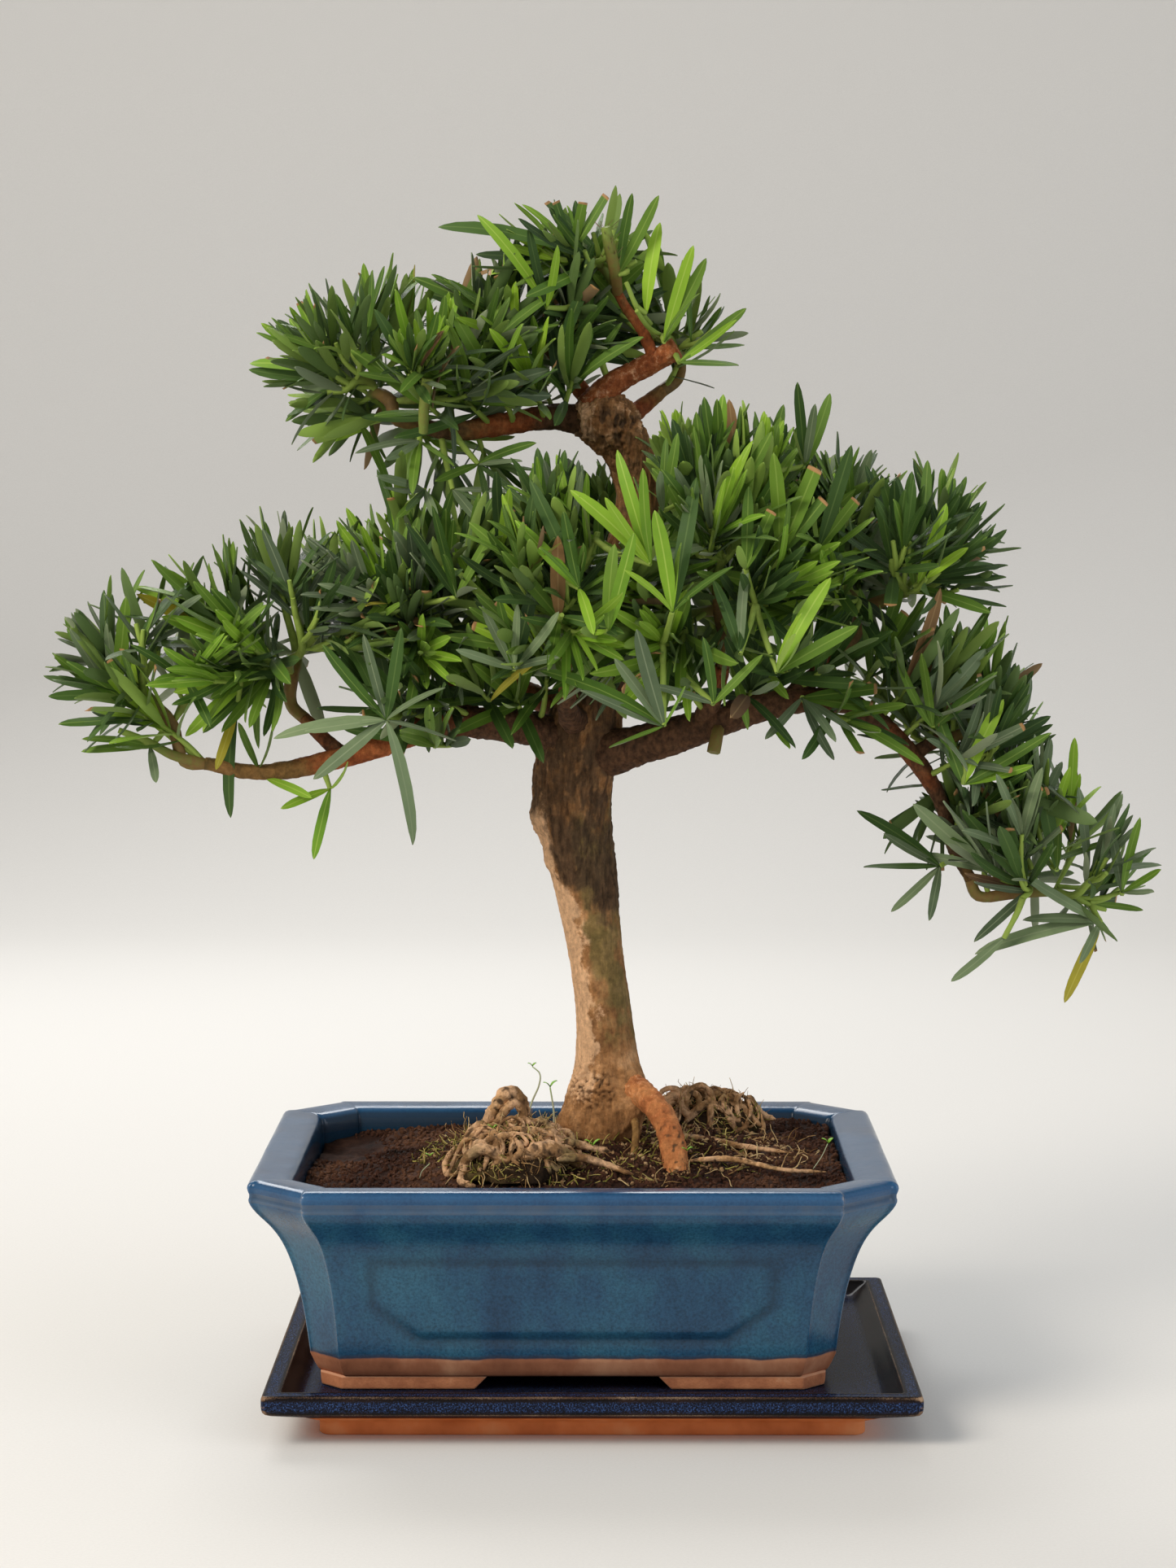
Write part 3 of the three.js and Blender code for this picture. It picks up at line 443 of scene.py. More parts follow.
# Thin living and dry growth: moss, rootlets, twig bark, seedlings.
def makeStalkMaterial(name, rough, stops):
    material, add, surface, place, tone = newMaterial(name, {"IOR": 1.42, "Specular IOR Level": 0.3}, "tone")
    mottle = add("ShaderNodeTexNoise", values={"Scale": 380, "Detail": 5, "Roughness": 0.65},
                 links={0: place})
    blend = add("ShaderNodeMath", {"operation": "MULTIPLY_ADD"}, {1: 0.55, 2: -0.28}, {0: mottle})
    share = add("ShaderNodeMath", {"operation": "ADD"}, links={0: tone, 1: blend})
    ramp = add("ShaderNodeValToRGB", links={0: share})
    rampStops(ramp, stops)
    dull = add("ShaderNodeMapRange", values={3: rough, 4: rough + 0.2}, links={0: mottle})
    return finishMaterial(material, surface, ramp, dull, mottle, 0.3)


glazeBlue, glazeDark, terracotta = makeGlazeBlue(), makeGlazeDark(), makeClay()
soilMaterial = makeSoilMaterial("pottingSoil", "#150c09", "#2f1c14", "#51372a", 4)
crumbMaterial = makeSoilMaterial("soilCrumbs", "#21130d", "#43291d", "#6b4a35", 2)
gritMaterial = makeSoilMaterial("tanGrit", "#6b4f35", "#a5845d", "#cdb086", 2)
trunkBark = makeBark("trunkBark", 0.22, [(0.3, "#6e4a2b"), (0.45, "#94683f"), (0.58, "#b28356"),
                                         (0.75, "#cfa276")])
boughBark = makeBark("boughBark", 0.6, [(0.3, "#6b3a20"), (0.45, "#944f2a"), (0.6, "#b0673a"),
                                        (0.75, "#c48b60")])
rootBark = makeBark("rootBark", 0.4, [(0.3, "#56301a"), (0.4, "#ad683c"), (0.6, "#c78450"),
                                      (0.78, "#dfb083")])
oldRootBark = makeBark("oldRootBark", 0.5, [(0.3, "#5b3d26"), (0.45, "#967049"), (0.6, "#c69a6c"),
                                            (0.75, "#e2bd94")])
twigBark = makeStalkMaterial("twigBark", 0.55, [(0, "#4c3a24"), (0.3, "#7c6136"), (0.6, "#6f7d37"),
                                                (0.9, "#8fa64a")])
fibreMaterial = makeStalkMaterial("dryRootlets", 0.75, [(0, "#3a2516"), (0.4, "#6f4c2c"),
                                                        (0.75, "#a07a4c"), (1, "#cdb381")])
mossMaterial = makeStalkMaterial("moss", 0.8, [(0, "#2c2c14"), (0.35, "#5d5f26"), (0.7, "#918a3c"),
                                               (1, "#c4b168")])
sproutMaterial = makeStalkMaterial("seedlings", 0.35, [(0, "#a9a58c"), (0.4, "#b7c39c"), (0.7, "#86b53a"),
                                                       (1, "#6aa021")])
print("materials ready")


potLook = {
    "length": 250, "depth": 200, "centre": (-7.5, 2), "base": 20.8,
    "lipFoot": 81, "waistHalf": 102.2, "wall": 8.6, "cornerRounding": 1.3,
    "throatFrom": 66, "throatReach": 4.2,         # where the walls start to spread into the lip, and how far
    "panelHalf": 76.3, "slantFrom": 59, "panelHeights": (37.2, 67),  # the raised panel on the front and back
    "panelRelief": 0.55, "grooveDepth": 0.35, "grooveWidth": 1.8,
    "pooled": 0.55, "poolWidth": 2.2, "paintedInsideShade": 0.75,          # glaze that has run together, with painted shade in the groove; painted shade on the inside walls
    "unevenness": 0.002,                          # hand-pressed walls are never quite flat
    "drainRadius": 7, "drainPlaces": (-50, 50),
}


def potCorner(half):
    cut = 10 + (half - 98) * 0.46
    step = cut / 9
    deep = half - (potLook["length"] - potLook["depth"]) / 2
    return [(half, deep - cut), (half - step, deep - cut), (half - cut, deep - step), (half - cut, deep)]


def fourCorners(corner):
    turned = corner[::-1]
    return (corner + [(-x, y) for x, y in turned] + [(-x, -y) for x, y in corner]
            + [(x, -y) for x, y in turned])


# Rounds each corner of an outline and divides its sides, always into the same number of points.
def fineOutline(corners, rounding, sideParts):
    corners = [np.array(c, float) for c in corners]
    points = []
    for k in range(len(corners)):
        before, here, after = corners[k - 1], corners[k], corners[(k + 1) % len(corners)]
        back, on = before - here, after - here
        backLength, onLength = np.linalg.norm(back), np.linalg.norm(on)
        start = here + back / backLength * min(rounding, backLength * 0.45)
        end = here + on / onLength * min(rounding, onLength * 0.45)
        points += [start * (1 - s) ** 2 + here * 2 * s * (1 - s) + end * s * s
                   for s in (0, 0.25, 0.5, 0.75, 1)]
        nextStart = after - on / onLength * min(rounding, onLength * 0.45)
        parts = sideParts[k % len(sideParts)]
        points += [end + (nextStart - end) * j / parts for j in range(1, parts)]
    return np.array(points)


def bodyHalf(height):
    low = potLook["base"] + 7
    t = max(0, (height - low) / (potLook["lipFoot"] - low))
    return potLook["waistHalf"] + 6 * t + 8 * t ** 3


# Half length and height, from the foot up the outside, over the rim and down the inside.
bodyProfile = [(98.6, 20.8), (99.4, 21.6), (100.6, 24), (101.6, 26.4), (102.2, 27.8)]
bodyProfile += [(bodyHalf(z) + potLook["throatReach"] * max(0, (z - potLook["throatFrom"]) / 20) ** 3, z)
                for z in np.arange(29.5, potLook["lipFoot"], 1.5)]
lipProfile = [
    (118.7, 81.8), (120.1, 83.3), (121.5, 84.9), (122.8, 86.6), (123.8, 88.2), (124.4, 89.6), (124.5, 90.5),
    (124.2, 91.3), (124.2, 92.5), (124.7, 93.8), (125, 95), (124.8, 96.1), (124, 97),
    (122.8, 97.6), (121.2, 97.8), (118, 97.75), (115, 97.5), (112, 97.3), (110.4, 96.9), (109.2, 96.2),
    (108.4, 95), (107.9, 93)]
insideProfile = [(bodyHalf(min(z, potLook["lipFoot"])) - potLook["wall"], z)
                 for z in (90, 87, 84, 81, 76, 68, 56, 42, 34, 29.5)]
insideProfile += [(96, 28.2), (94, 27.8)]


# Distance into the panel, whose lower corners are cut off; below 0 outside it.
def panelDepth(x, z):
    low, high = potLook["panelHeights"]
    slant = (z - low - (np.abs(x) - potLook["slantFrom"]) * 0.75) * 0.8
    return np.minimum(np.minimum(potLook["panelHalf"] - np.abs(x), z - low), np.minimum(high - z, slant))


def levelRing(outline, height):
    return np.column_stack([outline, np.full(len(outline), height)])


def potRing(half, height, sideParts):
    return levelRing(fineOutline(fourCorners(potCorner(half)), potLook["cornerRounding"], sideParts), height)


def makePot():
    rings = np.array([potRing(half, height, [1, 6, 1, 76, 1, 6, 1, 56])
                      for half, height in bodyProfile + lipProfile + insideProfile])
    x, y, z = rings[..., 0], rings[..., 1], rings[..., 2]
    onFace = np.abs(y) > np.abs(y).max(1)[:, None] - 0.1
    outside = (np.arange(len(rings)) < len(bodyProfile))[:, None]
    depth = panelDepth(x, z)
    relief = (smoothStep(depth, -2, 2) * potLook["panelRelief"]
              - potLook["grooveDepth"] * np.exp(-(depth / potLook["grooveWidth"]) ** 2))
    rings[..., 1] += np.sign(y) * relief * onFace * outside
    inside = (np.arange(len(rings)) >= len(bodyProfile + lipProfile) - 2)[:, None]
    # painted shade: the inside walls are darkened, and so is the groove round the panel along with its pooled
    # glaze
    groove = potLook["pooled"] * np.exp(-((depth + 0.6) / potLook["poolWidth"]) ** 2) * onFace * outside
    groove = (groove + potLook["paintedInsideShade"] * inside).reshape(-1)
    flat = rings.reshape(-1, 3)
    flat[:, :2] *= 1 + potLook["unevenness"] * noiseAt(flat, 45)[:, None]
    rings[..., :2] += potLook["centre"]
    points, faces = skin(rings)
    pot = makePiece("potBody", points, faces, glazeBlue, {"groove": list(groove) + [0, 0]})
    drains = []
    for place in potLook["drainPlaces"]:
        bpy.ops.mesh.primitive_cylinder_add(vertices=48, radius=potLook["drainRadius"] * mm, depth=20 * mm)
        drain = bpy.context.object
        spot = Vector((potLook["centre"][0] + place, potLook["centre"][1], potLook["base"] + 4))
        drain.data.transform(Matrix.Translation(spot * mm))
        cut = pot.modifiers.new("drain", "BOOLEAN")
        cut.operation, cut.object, cut.solver = "DIFFERENCE", drain, "EXACT"
        drains.append(drain)
    bakeModifiers(pot)
    for drain in drains:
        bpy.data.objects.remove(drain)
    edgeSharpness(pot)
    handOver(pot, "glaze", "pot")


trayLook = {"length": 251, "depth": 201, "rimWobble": 0.15, "wobbleSize": 30, "wobbleFrom": 16}

# Inset from the rim's outer edge, height, corner radius, and how much cobalt has pooled there.
trayProfile = [
    (20.9, 0, 4.6, 0), (20.4, 0.5, 5, 0), (20.4, 2.4, 5, 0), (20.4, 4.6, 5, 0), (20, 5.3, 5, 0),
    (18, 6.3, 4.6, 0), (15.4, 7.6, 4.3, 0), (13, 8.8, 4, 0), (10, 9.75, 3.6, 0.1), (7, 10.7, 3.2, 0.4),
    (4.4, 11.55, 2.8, 0.4), (2.4, 12.2, 2.5, 0.1), (1.1, 12.8, 2.3, 0), (0.5, 13.6, 2.1, 0),
    (0.2, 14.4, 2, 0.55), (0.1, 15.2, 2, 1), (0, 16, 2, 1), (0, 17, 2, 1), (0, 17.8, 2, 1),
    (0, 18.4, 2, 0.2), (0.05, 19, 2, 0), (0.25, 19.6, 2, 0), (0.6, 20, 2, 0), (1.1, 20.2, 2, 0.1),
    (1.8, 20.2, 2, 0.75), (2.8, 20.15, 2, 1), (4, 20.1, 2, 1), (5.2, 20.15, 2, 0.8), (6, 20.2, 2, 0.1),
    (6.8, 20.2, 2, 0), (7.3, 19.9, 2, 0), (7.8, 19.3, 2, 0), (9.2, 18.4, 2, 0), (10.8, 17.4, 2, 0),
    (12.4, 16.4, 2, 0.05), (13.6, 15.6, 2, 0.3), (14.6, 15.25, 2.4, 0.6), (16.5, 15.2, 3, 0.75),
    (24, 15.2, 6, 0.5), (40, 15.2, 10, 0.3), (70, 15.2, 12, 0.3), (96, 15.2, 3, 0.3)]


def trayOutline(inset, radius):
    halfLength, halfDepth = trayLook["length"] / 2 - inset, trayLook["depth"] / 2 - inset
    outline = fourCorners([(halfLength - radius * (1 - math.cos(turn)),
                            halfDepth - radius * (1 - math.sin(turn)))
                           for turn in np.linspace(0, math.pi / 2, 7)])
    parts = [1] * 6 + [56] + [1] * 6 + [44]
    points = []
    for k, (x, y) in enumerate(outline):
        nextX, nextY = outline[(k + 1) % len(outline)]
        count = parts[k % len(parts)]
        points += [(x + (nextX - x) * j / count, y + (nextY - y) * j / count) for j in range(count)]
    return np.array(points)


def makeTray():
    rings, pools = [], []
    for inset, height, radius, pool in trayProfile:
        rings.append(levelRing(trayOutline(inset, radius), height))
        pools += [pool] * len(rings[-1])
    rings = np.array(rings)
    flat = rings.reshape(-1, 3)
    wobble = noiseAt(flat * (1, 1, 0.2), trayLook["wobbleSize"]) * trayLook["rimWobble"]
    flat[:, 2] += wobble * (flat[:, 2] > trayLook["wobbleFrom"])
    points, faces = skin(rings)
    tray = makePiece("dripTray", points, faces, glazeDark, {"pool": pools + [0, 0.5]})
    edgeSharpness(tray)
    handOver(tray, "dark_glaze", "tray")


feetLook = {
    "half": 98.2, "cut": 9, "wall": 13, "low": 15.5, "high": 20.6,
    "gapHalf": (38, 33),        # half the cut-out at front and back: at its foot, at its top
    "sideGapHalf": (30.5, 26),
    "rounding": 0.8,
}


def makeFeet():
    half, cut, wall = feetLook["half"], feetLook["cut"], feetLook["wall"]
    deep = half - (potLook["length"] - potLook["depth"]) / 2
    names = {"front_left": (-1, -1), "front_right": (1, -1), "back_left": (-1, 1), "back_right": (1, 1)}
    for name, (sideX, sideY) in names.items():
        rings = []
        for share in (0, 0.12, 0.3, 0.6, 0.85, 1):
            gapHalf = np.interp(share, [0, 1], feetLook["gapHalf"])
            sideGap = np.interp(share, [0, 1], feetLook["sideGapHalf"])
            draw = 0.5 * (1 - share) ** 3      # the foot's underside is a little smaller
            corners = [(gapHalf, deep - draw), (half - cut, deep - draw), (half - draw, deep - cut),
                       (half - draw, sideGap), (half - wall, sideGap), (half - wall, deep - wall),
                       (gapHalf, deep - wall)]
            outline = fineOutline(corners[::-1], feetLook["rounding"], [5, 6, 6, 5, 8, 4, 14])
            outline *= (sideX, sideY)
            if sideX * sideY < 0:
                outline = outline[::-1]
            height = feetLook["low"] + (feetLook["high"] - feetLook["low"]) * share
            rings.append(levelRing(outline + potLook["centre"], height))
        points, faces = skin(rings)
        # an L can't be closed from its middle, so its two ends are single faces
        count = len(rings[0])
        faces = [face for face in faces if len(face) == 4]
        faces += [tuple(range(count))[::-1], tuple(range(count * (len(rings) - 1), count * len(rings)))]
        foot = makePiece("potFoot_" + name, points, faces, terracotta)
        edgeSharpness(foot)
        handOver(foot, "terracotta", "pot_foot_" + name)


makePot()
makeTray()
makeFeet()


soilLook = {
    "edge": 91, "trunkFoot": (4, 8),
    "moundTop": 99.7, "moundReach": 84, "moundStretch": 1.25,   # the mound is longer than deep
    "clods": 1.5, "clodSize": 9,          # how high and how wide the lumps are, mm
    "matHeight": 3.2, "matSpacing": 29,   # mats of moss and rootlets on the mound
}


def fromTrunk(x, y):
    footX, footY = soilLook["trunkFoot"]
    return np.hypot((x - footX) / soilLook["moundStretch"], y - footY)


def soilHeight(x, y):
    distance = fromTrunk(x, y)
    rise = smoothStep(1 - distance / soilLook["moundReach"], 0, 0.82)
    edge = soilLook["edge"] + 2 * (x / 100) - 1.2 * (1 - y / 90)
    crumbs = 1.1 * np.sin(x * 0.19 + 1) * np.sin(y * 0.23) * (1 - rise)
    # the soil has shrunk from the wall at the back left
    sunk = 6 * np.exp(-((x + 105) / 22) ** 2 - ((y - 52) / 30) ** 2)
    wave = 2 * math.pi / soilLook["matSpacing"]
    mats = (soilLook["matHeight"] * np.sin(x * wave + 0.9) * np.sin(y * wave - 0.4)
            * smoothStep(distance, 22, 34) * smoothStep(rise, 0.2, 0.7))
    top = soilLook["moundTop"]
    return np.minimum(edge + crumbs + (top - edge) * rise, top) - sunk + np.maximum(mats, -1)


def makeSoil():
    parts = [1, 4, 1, 58, 1, 4, 1, 44]
    rings = [potRing(half, height, parts) + (*potLook["centre"], 0)
             for half, height in ((93.8, 28.2), (98, 40), (101, 56), (104, 70))]
    rim = potRing(bodyHalf(potLook["lipFoot"]) - potLook["wall"] - 0.3, 0, parts)
    for share in [0.994, 0.97, 0.945] + list(np.arange(0.92, 0.02, -0.022)):
        ring = rim * share + (*potLook["centre"], 0)
        lumps = noiseAt(ring, soilLook["clodSize"], 4) * soilLook["clods"]
        ring[:, 2] = soilHeight(ring[:, 0], ring[:, 1]) + lumps * np.clip((1 - share) * 9, 0.35, 1)
        rings.append(ring)
    points, faces = skin(rings)
    soil = makePiece("pottingSoil", points, faces, soilMaterial)
    handOver(soil, "soil", "soil")
    return soil


# A crumb is a dented ball of twenty faces.
def makeCrumb(name, seed, flatness, material):
    random = seeded(seed)
    bpy.ops.mesh.primitive_ico_sphere_add(subdivisions=1, radius=0.5 * mm)
    crumb = bpy.context.object
    crumb.name = name
    for vertex in crumb.data.vertices:
        vertex.co *= 0.7 + 0.6 * random()
        vertex.co.z *= flatness
    crumb.data.materials.append(material)
    return crumb


def hiddenSet(name, members):
    store = bpy.data.collections.new(name)
    for member in members:
        for holder in list(member.users_collection):
            holder.objects.unlink(member)
        store.objects.link(member)
    return store


def clearSet(store):
    for member in list(store.objects):
        bpy.data.objects.remove(member)
    bpy.data.collections.remove(store)


# Scatters small shapes over the top of a surface: how many a square metre, and how large.
def buildScatter(name):
    tree, add, given, result = newTree(name, {
        "Shapes": "Collection", "Density": "Float", "Smallest": "Float", "Largest": "Float",
        "Sink": "Float", "Seed": "Int", "Material": "Material"})
    up = add("GeometryNodeInputNormal")
    upward = add("ShaderNodeSeparateXYZ", links={0: up})
    facing = add("FunctionNodeCompare", {"data_type": "FLOAT", "operation": "GREATER_THAN"}, {1: 0.35},
                 {0: upward.outputs["Z"]})
    points = add("GeometryNodeDistributePointsOnFaces", {"distribute_method": "RANDOM"}, None,
                 {"Mesh": given["Geometry"], "Selection": facing, "Density": given["Density"],
                  "Seed": given["Seed"]})
    shapes = add("GeometryNodeCollectionInfo", None, {"Separate Children": True, "Reset Children": True},
                 {"Collection": given["Shapes"]})
    size = add("FunctionNodeRandomValue", {"data_type": "FLOAT"}, None,
               {2: given["Smallest"], 3: given["Largest"], "Seed": given["Seed"]})
    turn = add("FunctionNodeRandomValue", {"data_type": "FLOAT_VECTOR"}, {0: (0, 0, 0), 1: (fullTurn,) * 3},
               {"Seed": given["Seed"]})
    pick = add("FunctionNodeRandomValue", {"data_type": "INT"}, {4: 0, 5: 11}, {"Seed": given["Seed"]})
    put = add("GeometryNodeInstanceOnPoints", None, {"Pick Instance": True},
              {"Points": points, "Instance": shapes, "Rotation": turn, "Scale": size, "Instance Index": pick})
    tone = add("FunctionNodeRandomValue", {"data_type": "FLOAT"}, {2: 0, 3: 1}, {"Seed": given["Seed"]})
    toned = add("GeometryNodeStoreNamedAttribute", {"data_type": "FLOAT", "domain": "INSTANCE"},
                {"Name": "tone"}, {0: put, "Value": tone})
    drop = add("ShaderNodeCombineXYZ", links={2: given["Sink"]})
    lowered = add("GeometryNodeTranslateInstances", None, {"Local Space": False},
                  {0: toned, "Translation": drop})
    return endTree(tree, lowered, given, result)


def scatterOver(name, ground, keep, shapes, look, material, slot):
    # a copy of the part of the ground that "keep" picks
    source = ground.data
    picked = [face for face in source.polygons if keep(face.center / mm)]
    used = sorted({v for face in picked for v in face.vertices})
    index = {v: k for k, v in enumerate(used)}
    points = [source.vertices[v].co / mm for v in used]
    faces = [[index[v] for v in face.vertices] for face in picked]
    piece = makePiece(name, points, faces, material)
    store = hiddenSet(name + "Shapes", shapes)
    runTree(piece, scatterTree, {
        "Shapes": store, "Density": look["density"], "Smallest": look["size"][0], "Largest": look["size"][1],
        "Sink": look["sink"] * mm, "Seed": look["seed"], "Material": material})
    clearSet(store)
    handOver(piece, slot)


scatterTree = buildScatter("scatterOnGround")


# A short dry rootlet or moss stem: a bent three-sided thread about 1 long, in millimetres.
def makeThread(name, seed, bend, thickness, material, parts=5):
    random = seeded(seed)
    place, way = Vector((0, 0, 0)), Vector((random() - 0.5, random() - 0.5, 0.16)).normalized()
    rings = []
    for step in range(parts + 1):
        side = way.orthogonal().normalized()
        third = way.cross(side)
        radius = thickness * (1 - 0.55 * step / parts)
        rings.append([place + side * radius * math.cos(a) + third * radius * math.sin(a)
                      for a in (0, 2.0944, 4.1888)])
        place = place + way / parts
        way = (way + Vector((random() - 0.5, random() - 0.5, random() - 0.6)) * bend).normalized()
    points, faces = skin([[list(p) for p in ring] for ring in rings])
    return makePiece(name, points, faces, material)


# Catmull-Rom through the places of a limb, given as x, y, z and radius.
def limbPoint(path, t):
    path = np.asarray(path, float)
    place = min(max(t, 0), 1) * (len(path) - 1)
    index = min(int(place), len(path) - 2)
    w = place - index
    p1, p2 = path[index], path[index + 1]
    p0 = path[index - 1] if index > 0 else 2 * p1 - p2
    p3 = path[index + 2] if index + 2 < len(path) else 2 * p2 - p1
    t0, t1 = (p2 - p0) / 2, (p3 - p1) / 2
    a, b = 2 * p1 - 2 * p2 + t0 + t1, -3 * p1 + 3 * p2 - 2 * t0 - t1
    return a * w ** 3 + b * w ** 2 + t0 * w + p1


def limbTangent(path, t):
    way = limbPoint(path, t + 1e-4)[:3] - limbPoint(path, t - 1e-4)[:3]
    return way / np.linalg.norm(way)


def limbLength(path):
    spots = np.array([limbPoint(path, k / 60)[:3] for k in range(61)])
    return np.linalg.norm(np.diff(spots, axis=0), axis=1).sum()


trunkPath = [
    [3.8, 8, 94, 14.4], [4.6, 8, 113, 14.6], [5.4, 8, 128, 13], [4.2, 8, 152, 11.5], [0.9, 8, 179, 11.3],
    [-3.4, 8, 205, 12.6], [-7.8, 8, 231, 15], [-6, 8, 258, 16], [2.2, 10, 291, 13], [10.3, 12, 320, 11.2],
    [18.4, 11, 354, 8.8], [14, 8, 378, 9.6], [6.4, 6, 389, 12], [3, 6, 397, 9.5], [2.4, 6, 401, 5]]

boughs = {
    "bough_left": [[-6, 6, 260, 9.5], [-26, 0, 267, 7], [-60, -13, 269, 5.6], [-95, -26, 258, 4.4],
                   [-128, -30, 251.5, 3.2], [-152, -32, 255, 2.5]],
    "bough_left_inner": [[-44, -7, 268, 3.8], [-52, -4, 278, 3.2], [-58, -4, 288, 2.8]],
    "bough_left_outer": [[-97, -27, 257, 3.2], [-106, -22, 264, 2.8], [-114, -18, 272, 2.5]],
    "bough_centre_front": [[-5, 6, 268, 6.4], [-9, -16, 273, 4.6], [-10, -34, 282, 3.4],
                           [-10, -44, 292, 2.8]],
    "bough_right": [[-3, 6, 254, 10], [21, -6, 261, 8], [46, -15, 269.4, 6.6], [74, -20, 278.5, 5.6],
                    [100, -22, 279, 4.6]],
    "bough_right_centre": [[42, -14, 268, 4.6], [48, -22, 281, 3.6], [51, -28, 293, 3]],
    "bough_right_crown": [[76, -20, 278.5, 4.2], [87, -18, 288, 3.6], [98, -15, 299, 3]],
    "bough_right_drop": [[100, -22, 279, 4.3], [115, -22, 269, 3.9], [128, -20, 255, 3.5],
                         [138, -15, 239, 3.1], [144, -10, 220, 2.7], [151, -8, 207, 2.4]],
    "bough_right_lower": [[126, -20, 257, 3], [134, -17, 262, 2.6], [142, -14, 264, 2.4]],
    "bough_back_left": [[-4, 10, 270, 6.6], [-26, 26, 279, 5], [-45, 38, 289, 3.6], [-55, 44, 298, 2.8]],
    "bough_back_right": [[0, 10, 280, 6.6], [30, 28, 291, 5], [58, 42, 303, 3.8], [72, 48, 312, 2.9]],
    "bough_back_centre": [[8, 12, 312, 5], [10, 29, 317, 4], [12, 43, 324, 3]],
    "bough_upper_left": [[4, 7, 388, 6.4], [-15, 8, 391, 5.2], [-37, 3, 388, 4.4], [-56, -3, 385, 3.5],
                         [-70, -7, 388, 2.8]],
    "bough_apex_left": [[4, 8, 391, 4.8], [-4, 16, 401, 3.6], [-12, 15, 411, 2.8]],
    "bough_apex_right": [[8, 9, 386, 5], [17, 20, 393, 3.8], [28, 25, 402, 2.8]],
    "stub_branch": [[-2, 3, 395, 5.2], [9, 1, 404.5, 4.8], [22, 0, 411.5, 4.4], [33.4, -2, 418, 4.2]],
    "top_twig": [[25, -1, 412, 2.6], [20, -2, 424, 2.2], [13, -3, 434, 2], [9, -3, 441, 1.8]],
}
roots = {
    "root_right": [[10, 4, 123, 5.4], [20, -6, 119.5, 5.4], [28, -18, 112, 5.1], [32, -28, 102, 5],
                   [34, -37, 84, 5.4]],
    "root_thin": [[16, 0, 112, 2], [17.5, -13, 106, 1.6], [16.5, -24, 98, 1.5], [16, -30, 84, 1.5]],
}
limbs = {"trunk": trunkPath, **boughs, **roots}


# Rings round a limb. "shape" turns angle, share along and place into the radius there.
def limbRings(path, sides, spacing, shape):
    count = max(2, round(limbLength(path) / spacing))
    across = np.array([0, 1, 0.37])
    rings, shares = [], []
    for step in range(count + 1):
        t = step / count
        along = limbTangent(path, t)
        centre = limbPoint(path, t)
        across = across - along * across.dot(along)
        across /= np.linalg.norm(across)
        third = np.cross(along, across)
        turn = np.linspace(0, 2 * math.pi, sides, endpoint=False)
        outward = np.cos(turn)[:, None] * across + np.sin(turn)[:, None] * third
        rings.append(centre[:3] + outward * shape(turn, t, centre, outward)[:, None])
        shares += [t] * sides
    return np.array(rings), shares


trunkLook = {
    "foot": 99.9, "sides": 168, "spacing": 0.85,     # mm between rings
    "flakes": 0.28, "cracks": 0.95, "grain": 0.16,
    "oldBarkFrom": 212,                              # old bark starts here on the left, higher on the right
    "knobAt": 224, "knuckleAt": 389, "crumblyAt": 122,
    "whitePatch": (1.2, 138), "palePatch": (2.5, 151),
    # lumps on the trunk: the way they face, height, width and how far they stand out, mm
    "lumps": [((0.85, -0.6), 121, 8, 4.2), ((0.8, -0.7), 112, 8, 4.5), ((-1, -0.35), 231, 4.5, 3.2),
              ((-1, -0.5), 223, 3, -1.8), ((-1, -0.45), 214.5, 3, 3.4), ((-1, -0.6), 207.5, 3, -1.2),
              ((-0.5, -1), 121, 6, 2.4), ((-1, -0.4), 105, 7, 2.2), ((0.3, -1), 107, 6, 1.6),
              ((0.2, -1), 246, 3, 1.4), ((1, -0.2), 262, 8, 1.5), ((-0.3, -1), 139, 2.2, 1),
              ((-1, 0), 391, 7, 2.2), ((0.2, -1), 391, 5, 1.6), ((1, 0.3), 300, 6, 1.8),
              ((0.5, 1), 180, 5, 1.6), ((-0.7, 1), 240, 8, 2)],
}


